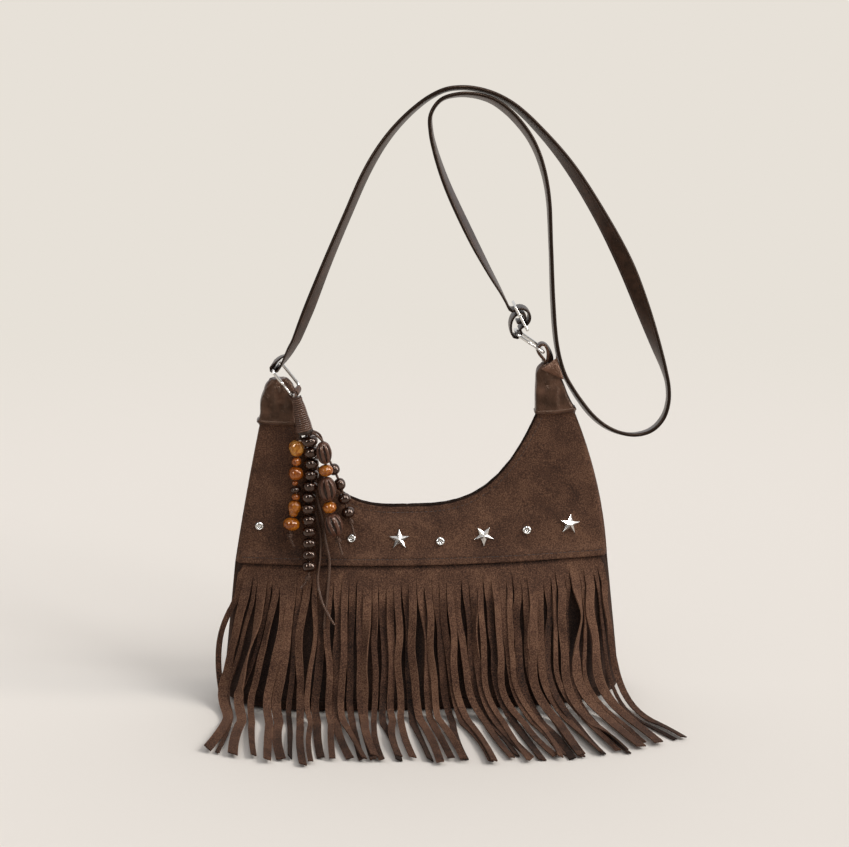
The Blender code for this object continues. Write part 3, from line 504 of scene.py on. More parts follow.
def suedeLook(name, dark, middle, light, stripes=False):
    # split suede leather, buffed to a nap: speckled and blotchy, no shine, a soft glow at grazing angles
    look, shader = newLook(name, Roughness=0.95, Sheen_Weight=0.12, Sheen_Roughness=0.5, Sheen_Tint=tone("#A0755A"),
                           Specular_IOR_Level=0.15)
    clouds = pattern(look, "Noise", 22 * mm, {"Detail": 3.0, "Roughness": 0.55, "Distortion": 0.6})
    # the nap's flecks are about 0.5 mm, drawn at 0.9 mm so that they show from this distance
    flecks = pattern(look, "Noise", 0.9 * mm, {"Detail": 2.0, "Roughness": 0.6})
    level = maths(look, "MULTIPLY_ADD", flecks, 1.3, maths(look, "MULTIPLY_ADD", clouds, 0.6, -0.2))
    if stripes:  # each strip took the buffing and the dyeing a little differently; the mark also carries painted shade between the layers of strips and under the seam, and the cut edges are paler
        level = maths(look, "ADD", level, ownMark(look, "dye_and_shade"))
        # the cut edges are paler, and are painted paler still as a highlight where the light grazes them
        rim = remap(look, maths(look, "ABSOLUTE", cutPlace(look)["X"]), 0.8, 1.0, 0.0, 0.12)
        level = maths(look, "ADD", level, rim)
    feed(look, shader, Base_Color=ramp(look, level, ((0.35, dark), (0.72, middle), (1.0, light))))
    relief(look, shader, flecks, 0.6, 0.35 * mm)
    return look


def capLook(name, dark, middle, light):
    # thin drum-dyed sheepskin with a waxed face: fine pores about 0.7 mm apart, creases that catch the light
    look, shader = newLook(name, Roughness=0.28, IOR=1.46, Specular_IOR_Level=0.45, Specular_Tint=warmShine)
    patches = pattern(look, "Noise", 9 * mm, {"Detail": 4.0})
    feed(look, shader, Base_Color=ramp(look, patches, ((0.3, dark), (0.55, middle), (0.8, light))))
    pores = pattern(look, "Voronoi", 0.75 * mm, out="Distance")
    creases = pattern(look, "Noise", 5.5 * mm, {"Detail": 4.0, "Distortion": 2.2})
    relief(look, shader, maths(look, "ADD", maths(look, "MULTIPLY", creases, 5.0), pores), 0.5, 0.3 * mm)
    return look


def strapLook():
    # two layers of coated bonded leather, stitched along both edges, its cut edges painted black
    look, shader = newLook("coated_strap_leather", Roughness=0.34, IOR=1.45, Specular_IOR_Level=0.3,
                           Specular_Tint=warmShine)
    cut = cutPlace(look)  # in millimetres: X across from the strap's middle, Y along it
    side = maths(look, "ABSOLUTE", cut["X"])
    face = ramp(look, pattern(look, "Noise", 6 * mm, {"Detail": 3.0}), ((0.3, "#241710"), (0.7, "#3E2A20")))
    # stitches 4.9 mm long every 6.4 mm, in a row 2 mm from each edge
    offRow = maths(look, "ABSOLUTE", maths(look, "SUBTRACT", side, 5.5))
    onStitch = maths(look, "GREATER_THAN", maths(look, "PINGPONG", cut["Y"], 3.2), 0.75)
    stitch = maths(look, "MULTIPLY", maths(look, "LESS_THAN", offRow, 0.32), onStitch)
    sewn = paintOver(look, face, stitch, "#241916")
    painted = paintOver(look, sewn, maths(look, "GREATER_THAN", side, 6.95), "#120B08")
    groove = remap(look, offRow, 0.0, 0.8)
    grain = maths(look, "MULTIPLY", pattern(look, "Voronoi", 0.8 * mm, out="Distance"), 0.18)
    height = maths(look, "ADD", maths(look, "ADD", groove, grain), maths(look, "MULTIPLY", stitch, 0.5))
    feed(look, shader, Base_Color=painted)
    relief(look, shader, height, 0.6, 0.3 * mm)
    return look


def nickelLook():
    # zinc alloy plated with nickel and tumbled: a bright mirror with faint hairlines
    look, shader = newLook("plated_nickel", Metallic=1.0, Roughness=0.2)
    marks = pattern(look, "Noise", 1.6 * mm, {"Detail": 4.0, "Roughness": 0.7})
    feed(look, shader, Base_Color=ramp(look, marks, ((0.3, "#BDB9B4"), (0.7, "#DBD8D3"))),
         Roughness=ramp(look, marks, ((0.3, 0.18), (0.75, 0.25))))
    return look


def thongLook(name, dark, light, shine=0.1, ribs=False):
    # round waxed cotton cord: a low shine over fine slanted fibres
    look, shader = newLook(name, Roughness=0.42, Specular_IOR_Level=0.3, Specular_Tint=warmShine, Coat_Weight=shine,
                           Coat_Roughness=0.15)
    fibres = pattern(look, "Wave", 2.4 * mm, {"Distortion": 3.0, "Detail": 3.0, "Detail Scale": 1.6},
                     bands_direction="DIAGONAL")
    level = fibres
    if ribs:  # painted light and shade: the whipping is painted paler on its turns and darker between them
        level = maths(look, "MULTIPLY_ADD", fibres, 0.25, ownMark(look, "crest_light"))
    feed(look, shader, Base_Color=ramp(look, level, ((0.15, dark), (0.85, light))))
    relief(look, shader, fibres, 0.45, 0.2 * mm)
    return look


def resinLook(name, deep, bright, clear):
    # cast resin that imitates amber: cloudy inside, polished outside
    look, shader = newLook(name, Roughness=0.12, IOR=1.45, Specular_Tint=warmShine, Transmission_Weight=clear,
                           Coat_Weight=0.5, Coat_Roughness=0.04, Coat_Tint=tone("#FFE9D8"),
                           Subsurface_Weight=0.12 if clear else 0.0, Subsurface_Scale=2.5 * mm,
                           Subsurface_Radius=(1.0, 0.45, 0.15))
    swirls = pattern(look, "Noise", 5 * mm, {"Detail": 3.0, "Distortion": 2.2})
    feed(look, shader, Base_Color=ramp(look, swirls, ((0.32, deep), (0.68, bright))))
    return look


def woodLook():
    # carved hardwood, stained nearly black and waxed; painted light and shade: paler on its ridges and darker in the
    # carved slots
    look, shader = newLook("carved_stained_wood", Roughness=0.24, Specular_IOR_Level=0.3, Specular_Tint=warmShine,
                           Coat_Weight=0.2, Coat_Roughness=0.08)
    stretched = addNode(look, "ShaderNodeMapping", {"Scale": (1.0, 1.0, 0.22)}, {"Vector": objectPlace(look)})
    grain = pattern(look, "Noise", 1.2 * mm, {"Detail": 4.0}, stretched.outputs[0])
    ridgeLight = maths(look, "MULTIPLY", ownMark(look, "ridge_lit"), 0.6)
    level = maths(look, "ADD", maths(look, "MULTIPLY", grain, 0.45), ridgeLight)
    feed(look, shader, Base_Color=ramp(look, level, ((0.15, "#0E0705"), (0.5, "#33201A"), (0.85, "#5C3D30"))))
    relief(look, shader, grain, 0.25, 0.15 * mm)
    return look


def threadLook():
    # bonded polyester thread, dyed to match: a slight shine along the twist
    look, shader = newLook("bonded_thread", Roughness=0.5)
    twist = pattern(look, "Wave", 1.2 * mm, {"Distortion": 1.0})
    feed(look, shader, Base_Color=ramp(look, twist, ((0.2, "#170D09"), (0.8, "#32221A"))))
    return look


suedeFront = suedeLook("napped_suede", "#22140D", "#4E3426", "#765540")
suedeFringe = suedeLook("cut_suede", "#190F0A", "#563A2B", "#7E5C46", stripes=True)
# painted shade: a darker copy of the same suede for the panels behind the fringe, at the back and underneath
suedeShaded = suedeLook("suede_painted_shade", "#140B07", "#2F1F17", "#493327")
capLeather = capLook("waxed_cap_leather", "#2F1E15", "#4E372B", "#6E5041")
# painted light: a lighter copy of the cap leather for the folded flap on the right cap's top
flapLitLeather = capLook("waxed_cap_leather_painted_light", "#503729", "#704F3F", "#8E6B55")
strapLeather = strapLook()
nickel = nickelLook()
waxedThong = thongLook("waxed_thong", "#291A14", "#60473A")
whippedCord = thongLook("whipped_cord", "#150C08", "#5C4134", 0.3, ribs=True)
resinAmber = resinLook("cast_amber_resin", "#7E3C06", "#C98024", 0.1)
resinLight = resinLook("pale_amber_resin", "#9C5A14", "#DDA44C", 0.16)
resinTan = resinLook("cast_orange_brown_resin", "#6A3008", "#B0651E", 0.0)
resinDark = resinLook("cast_black_brown_resin", "#170C07", "#38241A", 0.0)
stainedWood = woodLook()
sewingThread = threadLook()
print("materials made")


# the bag's form: every soft layer is read from these functions, which repeat the solids' own

bag = {"footWide": 153 * mm, "footDeep": 42 * mm, "footHigh": 10 * mm, "footCorner": 8 * mm, "footWall": 2.4 * mm,
       "seamHigh": 109 * mm, "seamWide": 142 * mm, "seamDeep": 15.5 * mm,
       "mouthHigh": 151 * mm, "mouthMiddle": -11 * mm, "mouthDeep": 4.5 * mm, "mouthRise": 71 * mm,
       "mouthPower": 3.2, "mouthWide": {-1: 87 * mm, 1: 98 * mm},
       "tip": {-1: (-115.5 * mm, 243 * mm), 1: (101.5 * mm, 252 * mm)}, "bulge": {-1: 1.0 * mm, 1: 7.5 * mm},
       "tipDeep": 1.5 * mm, "gap": 0.3 * mm, "frontWall": 1.5 * mm, "yokeWall": 1.4 * mm, "backWall": 2.4 * mm,
       "fringeWall": 1.0 * mm, "ease": 0.4 * mm, "tuck": 6 * mm, "drop": 14 * mm, "slope": 5 * mm,
       "lipRest": 0.3, "lipReach": 13 * mm, "snapTop": 146 * mm}
yokeInner = bag["frontWall"] + bag["gap"]
yokeOuter = yokeInner + bag["yokeWall"]
headerInner = yokeInner + bag["ease"]
headerOuter = headerInner + bag["fringeWall"]
yokeStep = bag["ease"] + bag["fringeWall"] + bag["gap"]
headerTop = bag["seamHigh"] + bag["tuck"]
slitHigh = bag["seamHigh"] - bag["drop"]


def sideX(side, z):
    tipX, tipZ = bag["tip"][side]
    if z <= bag["seamHigh"]:
        t = (z - bag["footHigh"]) / (bag["seamHigh"] - bag["footHigh"])
        return side * mix(bag["footWide"], bag["seamWide"], t)
    t = (z - bag["seamHigh"]) / (tipZ - bag["seamHigh"])
    return mix(side * bag["seamWide"], tipX, t) + side * bag["bulge"][side] * 4 * t * max(0.0, 1 - t)


def mouthX(side, z):
    rise = limit((z - bag["mouthHigh"]) / bag["mouthRise"])
    return bag["mouthMiddle"] + side * bag["mouthWide"][side] * rise ** (1 / bag["mouthPower"])


def depthAt(z):
    if z <= bag["seamHigh"]:
        t = max(0.0, (z - bag["footHigh"]) / (bag["seamHigh"] - bag["footHigh"]))
        return mix(bag["footDeep"], bag["seamDeep"], t ** 1.25), mix(4.0, 2.0, t), mix(0.5, 1.0, t)
    if z <= bag["mouthHigh"]:
        t = (z - bag["seamHigh"]) / (bag["mouthHigh"] - bag["seamHigh"])
        return mix(bag["seamDeep"], bag["mouthDeep"], t), 2.0, 1.0
    t = limit((z - bag["mouthHigh"]) / bag["mouthRise"])
    return mix(bag["mouthDeep"], bag["tipDeep"], t), 2.0, 1.0


def swell(x, z):
    depth, power, root = depthAt(z)
    share = min(1.0, abs(x / sideX(-1 if x < 0 else 1, z)))
    return depth * (1 - share ** power) ** root


def sag(x, z, seed):  # where soft suede gives a little inwards
    wave = noise.noise(Vector((x / (46 * mm), z / (38 * mm), seed)))
    low = limit((z - 12 * mm) / (25 * mm))
    return 1.1 * mm * (0.5 + 0.5 * wave) * low


def lipDraw(z, toMouth):  # the magnetic snap draws the two lips towards each other, on each side of it
    return mix(bag["lipRest"], 1.0, ease(max(toMouth, bag["snapTop"] - z) / bag["lipReach"]))


def innerFace(x, z, facing, toMouth):  # how deep the bag is there, from its middle to the suede
    return max(0.1 * mm, swell(x, z) - sag(x, z, 1.5 + facing)) * lipDraw(z, toMouth)


def faceY(x, z, offset, facing=-1):
    return facing * (bag["gap"] / 2 + innerFace(x, z, facing, mouthDistance(x, z)) + offset)


def yokeRise(z):
    return yokeStep * (1 - limit((z - headerTop - bag["gap"]) / bag["slope"]))


mouthLine = []
for side in (-1, 1):
    heights = [bag["mouthHigh"] + bag["mouthRise"] * (k / 160) ** bag["mouthPower"] for k in range(161)]
    part = [Vector((mouthX(side, z), z)) for z in heights]
    part.append(Vector((part[-1].x, bag["tip"][side][1])))
    mouthLine += part[::-1] if side < 0 else part[1:]
mouthCloud = np.array([tuple(p) for p in mouthLine])


def mouthDistance(x, z):
    return float(np.min(np.hypot(mouthCloud[:, 0] - x, mouthCloud[:, 1] - z)))


# the six free cords of the charm: they hang where their solids hang

charm = {"pivot": Vector((-92.5, -14.5, 237.5)) * mm, "foot": Vector((-88.0, -15.5, 214.5)) * mm,
         "headRadius": 3.7 * mm, "footRadius": 6.6 * mm, "turns": 17, "cordThick": 1.8 * mm,
         "above": 4.6 * mm, "boreEase": 0.15 * mm, "tight": 0.25 * mm, "spacerTight": 0.1 * mm}
charmFoot = axisFrame(charm["foot"], charm["foot"] - charm["pivot"])


def offFront(z):  # how far the outermost cloth of the solids stands off the bag's inner face
    if z >= bag["seamHigh"]:
        return yokeOuter + yokeRise(z)
    t = limit((84 * mm - z) / (71 * mm))
    return headerOuter + 1.6 * mm + 0.8 * mm + 5.7 * mm * t ** 1.6


def overFront(x, z, lift):
    x, z, lift = x * mm, z * mm, lift * mm
    return Vector((x, -(bag["gap"] / 2 + swell(x, z) + offFront(z) + lift), z))


def underWrap(x, y):
    return charmFoot @ Vector((x * mm, y * mm, 1.1 * mm))


strands = {
    "a": {"start": (-4.2, -0.5), "knotRun": 10,
          "route": [(x, z, 6.8) for x, z in ((-92.8, 209), (-95.5, 200), (-94, 191), (-95, 181), (-96, 171), (-95, 163),
                                             (-97, 152), (-99, 141), (-100, 131.5), (-97, 124.5))],
          # each bead: its kind, width, length and the bare thong before it, in mm; "spacer" is fast on the thong
          "beads": [("nugget", 11.2, 13.4, 7.6), ("tan", 7.4, 7.6, 0), ("tan", 11.2, 10.9, 0), ("spacer", 4.6, 4.2, 0),
                    ("dark", 8.2, 6.0, 0), ("spacer", 6.4, 5.6, 0), ("gourd", 9.7, 13.2, 0), ("amber", 12.6, 10.5, 0)]},
    "b": {"start": (2.6, -2.2), "knotRun": 12,
          "route": [(x, z, 8.0) for x, z in ((-84.6, 206), (-83.5, 197), (-83, 187), (-84, 174), (-86, 158),
                                             (-85.5, 140), (-86, 120), (-87, 104), (-93, 95))],
          "beads": [("rondelle", 12.4, 8.8, 3.0)] + [("rondelle", 10.9, 8.8, 0)] * 11},
    "c": {"start": (5.4, 1.4), "knotRun": 9,
          "route": [(x, z, 12.0) for x, z in ((-74.8, 207), (-73, 198), (-72.8, 184), (-71.6, 169), (-70.2, 154.5),
                                              (-66.2, 138), (-61.5, 121))],
          "beads": [("carved", 11.6, 18.2, 10.4), ("amber", 10.8, 9.4, 0), ("carved", 13.4, 19.4, 0),
                    ("amber", 10.4, 9.4, 0), ("carved", 14.0, 18.2, 0)]},
    "d": {"start": (5.6, -2.6), "knotRun": 8,
          "route": [(-76.4, 209, 3.0), (-73, 197, 3.2), (-67, 184, 3.8), (-62, 172, 5.0), (-59, 160, 5.6),
                    (-56, 149, 5.8), (-53.5, 139, 5.6), (-51.5, 132.5, 5.6)],
          "beads": [("dark", 9.0, 9.2, 33), ("dark", 8.4, 9.8, 2.6), ("dark", 9.6, 9.2, 2.2),
                    ("dark", 10.2, 9.2, 1.8)]},
}
tails = {
    "tail_1": {"start": (2.6, -5.9), "thick": 2.5 * mm,
               "route": [(-82, 208, 1.2), (-80.2, 198, 1.6), (-79.7, 186, 1.9), (-81, 169, 1.9), (-79, 156, 1.9),
                         (-76, 144, 1.9), (-74, 129, 1.9), (-71, 114, 1.9), (-72, 98, 1.9), (-74, 81, 1.9),
                         (-76, 65, 1.9)]},
    "tail_2": {"start": (-0.8, -6.2), "thick": 2.1 * mm,
               "route": [(-86.5, 208, 1.0), (-85.5, 196, 1.2), (-84, 182, 1.3), (-83.7, 168, 1.3), (-82.3, 156, 1.3),
                         (-80, 144, 1.3), (-77.5, 131, 1.3), (-78, 116, 1.3), (-80, 99, 2.6), (-77, 85, 4.2),
                         (-72, 75, 4.6), (-68, 69, 4.6)]},
}


cordPaths = {}
cordPieces = {}
for letter, strand in strands.items():
    path = smoothPath([underWrap(*strand["start"])] + [overFront(*place) for place in strand["route"]], 1.2 * mm)
    cordPaths[letter] = path
    piece = bentLine("thong_" + letter, path, waxedThong, charm["cordThick"] / 2, [1.0] * len(path), 4)
    cordPieces[letter] = handOver(piece, "thong", "strand_" + letter, "charm")
for name, tail in tails.items():
    path = smoothPath([underWrap(*tail["start"])] + [overFront(*place) for place in tail["route"]], 2.0 * mm)
    radii = [1.0] * (len(path) - 3) + [0.97, 0.85, 0.6]  # cut to a point
    piece = bentLine("thong_" + name, path, waxedThong, tail["thick"] / 2, radii, 4)
    handOver(piece, "thong", name, "charm")
    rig.cord(piece, exit=path[0], length=pathLength(path), diameter=tail["thick"], far_end="bare",
            stiffness="limp", lay="hanging")
print("camera and cords in place")


# the suede body: each panel is a closed skin whose two faces meet at every border

def spread(count, dense):  # places from 0 to 1, closer together near 1
    return [1 - (1 - k / count) ** dense for k in range(count + 1)]


def panelGrid(rows, columns, place):
    # left and right halves of a panel, split at the mouth
    points, faces = [], []
    for side in (-1, 1):
        start = len(points)
        for z in rows:
            inner = mouthX(side, z) if z > bag["mouthHigh"] else bag["mouthMiddle"]
            outer = sideX(side, z)
            for t in columns:
                points.append(place(mix(outer, inner, t), z, side))
        faces += gridFaces(len(rows), len(columns), start, flip=side > 0)
    return points, faces


def panelRows(bottom, tip, fineLow):
    rows = [bottom + step * mm for step in fineLow]
    while rows[-1] < bag["mouthHigh"] - 7 * mm:
        rows.append(rows[-1] + 2.2 * mm)
    rows = [z for z in rows if z < bag["mouthHigh"] - 6.5 * mm]
    rows += [bag["mouthHigh"] - step * mm for step in (6.2, 5.4, 4.8, 4.4, 4.0, 3.6, 3.0, 2.2, 1.4, 0.8, 0.35, 0.0)]
    rows += [bag["mouthHigh"] + bag["mouthRise"] * (k / 34) ** bag["mouthPower"] for k in range(1, 35)]
    rows += [mix(rows[-1], tip, t) for t in (0.4, 0.8, 1.0)]
    return rows


def borderRound(distance, reach):  # 0 at a border, 1 from reach inwards, along a quarter circle
    return sqrt(max(0.0, 1 - (1 - limit(distance / reach)) ** 2))


def makePanel(name, node, facing, bottom, low, high, look, tuckIn=0.0, fold=None, fineLow=(0, 0.35, 0.8, 1.5, 3.0)):
    # one sewn panel between two offsets from the bag's inner face
    skins = []
    for face in (0, 1):
        def place(x, z, side):
            tip = bag["tip"][side][1]
            z = min(z, tip)
            shift = tuckIn * ease((z - (bag["seamHigh"] - 12 * mm)) / (10 * mm))
            x -= (x / sideX(side, z)) * side * shift
            toSide = abs(sideX(side, z)) - shift - abs(x)
            toMouth = mouthDistance(x, z)
            near = min(toMouth, z - bottom, tip - z + 0.4 * mm)
            inside, outside = low(z), high(z)
            middle, half = (inside + outside) / 2, (outside - inside) / 2
            extra = fold(z, toMouth) if fold else 0.0
            off = middle + (half if face else -half) * borderRound(near, 0.8 * mm) + (extra if face else 0.0)
            edge = borderRound(toSide, 4.5 * mm)
            rest = innerFace(x, z, facing, toMouth)
            return Vector((x, facing * (bag["gap"] / 2 + (rest + off) * edge), z))
        points, faces = panelGrid(panelRows(bottom, 252 * mm, fineLow), spread(64, 1.35), place)
        skins.append((points, faces))
    shift = len(skins[0][0])
    points = skins[0][0] + skins[1][0]
    faces = [f[::-1] for f in skins[0][1]] + [tuple(i + shift for i in f) for f in skins[1][1]]
    piece = meshPiece(name, points, faces, look)
    closeUp(piece)
    return handOver(piece, "suede", node)


yoke = {"hemWide": 5.2 * mm, "hemThick": 0.55 * mm, "stitchIn": 4.0 * mm, "groove": 0.5 * mm,
        "foldHigh": 8.6 * mm, "foldThick": 1.0 * mm, "foldStitch": 5.0 * mm}


def yokeFold(z, toMouth):  # the turned hems at the mouth and over the fringe, pulled in along their stitches
    hem = yoke["hemThick"] * ease((yoke["hemWide"] - toMouth) / (0.9 * mm)) * ease(toMouth / (0.6 * mm))
    hem -= yoke["groove"] * max(0.0, 1 - abs(toMouth - yoke["stitchIn"]) / (0.9 * mm))
    up = z - bag["seamHigh"]
    fold = yoke["foldThick"] * ease((yoke["foldHigh"] - up) / (1.4 * mm)) * ease(up / (0.5 * mm))
    fold -= yoke["groove"] * max(0.0, 1 - abs(up - yoke["foldStitch"]) / (1.0 * mm))
    fold += 0.6 * mm * exp(-((up - 1.5 * mm) / (0.9 * mm)) ** 2)  # the lower edge is rolled
    return hem + fold


makePanel("suede_yoke", "front_yoke", -1, bag["seamHigh"], lambda z: yokeInner + yokeRise(z),
          lambda z: yokeOuter + yokeRise(z), suedeFront, fold=yokeFold,
          fineLow=(0, 0.3, 0.7, 1.3, 2.2, 3.2, 4.0, 4.6, 5.0, 5.4, 6.0, 7.0, 8.0, 9.0, 10.5, 12.5))
makePanel("suede_front", "front_panel", -1, bag["footHigh"] + bag["gap"], lambda z: 0.0, lambda z: bag["frontWall"],
          suedeShaded, tuckIn=bag["yokeWall"] + bag["gap"])
makePanel("suede_back", "back_panel", 1, bag["footHigh"] + bag["gap"], lambda z: 0.0, lambda z: bag["backWall"],
          suedeShaded, fold=lambda z, toMouth: yokeFold(bag["seamHigh"] + 50 * mm, toMouth))


def footRing(inset, z):
    count = 120
    wide = bag["footWide"] - inset
    deep = bag["footDeep"] + bag["backWall"] - inset
    loop = []
    for k in range(count):
        c, s = cos(2 * pi * (k + 0.5) / count), sin(2 * pi * (k + 0.5) / count)
        x = wide * abs(c) ** 0.62 * (1 if c > 0 else -1)
        y = deep * (1 - min(1.0, abs(x / wide)) ** 4.0) ** 0.5 * (1 if s > 0 else -1)
        loop.append(Vector((x, y, z)))
    return loop


def makeFoot():
    corner, high, wall = bag["footCorner"], bag["footHigh"], bag["footWall"]
    turns = [pi / 2 * k / 8 for k in range(9)]
    outside = [footRing(corner * (1 - cos(turn)), high * (1 - sin(turn))) for turn in turns]
    inside = [footRing(wall + (corner - wall) * (1 - cos(turn)), high - (high - wall) * sin(turn)) for turn in turns]
    handOver(loopSkin("suede_base", outside[::-1] + inside, suedeShaded, 50), "suede", "base_panel")


makeFoot()
print("suede body made")


# the fringe: one sheet of suede, uncut at the top and slit into strips that hang, twist and lie on the floor

fringe = {"strips": 50, "gap": 0.55 * mm, "length": 190 * mm, "layer": 1.7 * mm, "floorLayer": 1.1 * mm,
          "slitWander": 6.5 * mm, "sway": 2.2 * mm, "twist": 20, "clump": 3, "tipRoll": 42, "bow": 9.5 * mm,
          # share of the seam from the middle, then in mm: x just above the floor, x and y where the strip
          # comes to lie on it, x and y of its cut end
          "lay": ((-1.0, -158, -153, -57, -168, -100), (-0.9, -146, -145, -60, -155, -112),
                  (-0.8, -136, -137, -63, -139, -122), (-0.6, -91, -90, -68, -90, -131),
                  (-0.4, -62, -60, -62, -51, -126),
                  (-0.2, -31, -32, -63, -27, -128), (0.0, 3, 5, -65, 14, -136), (0.2, 32, 44, -74, 61, -142),
                  (0.4, 61, 76, -76, 88, -141), (0.6, 84, 102, -77, 115, -140), (0.8, 113, 133, -76, 150, -132),
                  (0.95, 140, 161, -70, 183, -116), (1.0, 150, 172, -66, 191, -110))}


def stripLay(share):
    rows = fringe["lay"]
    return [fromTable([(row[0], row[k]) for row in rows], share) * mm for k in range(1, 6)]


def curve(a, b, leave, arrive, t):  # a smooth bend between two places with a direction at each
    return (a * (2 * t ** 3 - 3 * t ** 2 + 1) + leave * (t ** 3 - 2 * t ** 2 + t) + b * (3 * t ** 2 - 2 * t ** 3)
            + arrive * (t ** 3 - t ** 2))


def stripLine(k, share, top):
    order = (0, 2, 1, 2, 0, 1, 2, 1, 0, 1, 2)[k % 11]
    stand = headerInner + bag["fringeWall"] / 2
    clump = (k // fringe["clump"] + 0.5) * fringe["clump"] / fringe["strips"] * 2 - 1
    hangX, landX, landY, tipX, tipY = stripLay(mix(share, clump, 0.12))

    def stray(reach, seed):  # how far this strip strays from the table, up to so many millimetres
        return reach * mm * drift(k, seed, 1)

    away = 1.0 if abs(share) < 0.95 else 0.4  # the outermost strips stray less
    hangX += stray(3.0, 1) * away
    landX += stray(3.0, 1) * away + stray(2.0, 2)
    landY += stray(7, 3)
    tipX += (stray(2.4, 1) + stray(6.5, 4)) * away
    tipY += stray(6, 5)
    low = 17 * mm + stray(7, 6) + 19 * mm * limit(share / 0.6)  # it bends towards the floor from here
    sway = fringe["sway"] * (1.7 if k % 4 == 1 else 1.0)
    turned = (52 if k % 7 == 3 else 17) * (1 if drift(k, 8, 1) > 0 else -1)
    points, flats = [], []
    levels = 20
    for step in range(1, levels + 1):
        t = step / levels
        z = mix(slitHigh - 5 * mm, low, t)
        lean = t ** 1.35
        x = mix(top, hangX, lean) + sway * sin(pi * min(1.0, t * 1.05)) * drift(k, 7 + t * 1.6, 1)
        if k == 0:  # the outermost strip bows away from the bag
            x -= fringe["bow"] * sin(pi * limit(t - 0.08)) ** 1.2
        grow = limit((slitHigh + 2 * mm - z) / (16 * mm))
        out = 0.6 * mm + 3.6 * mm * t ** 1.6
        inX = limit(x, -abs(sideX(-1, z)) + 2 * mm, abs(sideX(1, z)) - 2 * mm)
        y = -(bag["gap"] / 2 + swell(inX, z) + stand + (out + order * fringe["layer"]) * grow)
        y -= 5 * mm * limit((abs(x) - abs(inX)) / (12 * mm))
        points.append(Vector((x, y, z)))
        slope = (swell(limit(x + mm, -0.15, 0.15), z) - swell(limit(x - mm, -0.15, 0.15), z)) / (2 * mm)
        twist = fringe["twist"] * grow * drift(k + 40, t * 3, 1)
        flats.append((atan2(-limit(slope, -0.7, 0.7), 1.0), turned * sin(pi * t) ** 1.2 + twist))
    rest = 0.7 * mm + order * fringe["floorLayer"]
    foot = points[-1]
    landY = min(landY, foot.y - 14 * mm)
    land = Vector((landX, landY, rest))
    tip = Vector((tipX, tipY, rest))
    ahead = (tip - land).normalized()
    down = (points[-1] - points[-4]).normalized()
    span = (land - foot).length
    heading = atan2(ahead.x, -ahead.y)
    for step in range(1, 10):
        t = step / 9
        points.append(curve(foot, land, down * span * 1.25, ahead * span * 1.1, t))
        flats.append((heading * ease(t), (1 - t) * flats[levels - 1][1]))
    run = pathLength(points) + bag["seamHigh"] - points[0].z
    left = max(30 * mm, min(fringe["length"] * (1 + 0.04 * drift(k, 6, 1)) - run, (tip - land).length * 1.12))
    steps = 10
    curl = 9 * drift(k + 9, 1, 1)
    tipRoll = fringe["tipRoll"] * drift(k + 21, 1, 1)
    for step in range(1, steps + 1):
        way = heading + radians(curl * (2 * step / steps - 1))
        spot = points[-1] + Vector((sin(way), -cos(way), 0.0)) * left / steps
        roll = tipRoll * sin(pi * min(1.0, 1.25 * step / steps) / 2)
        wave = 2.2 * mm * max(0.0, drift(k + 3, 2, 1)) * sin(pi * step / steps)
        spot.z = rest + wave + 2.7 * mm * abs(sin(radians(roll)))
        points.append(spot)
        flats.append((way, roll))
    return points, flats, order


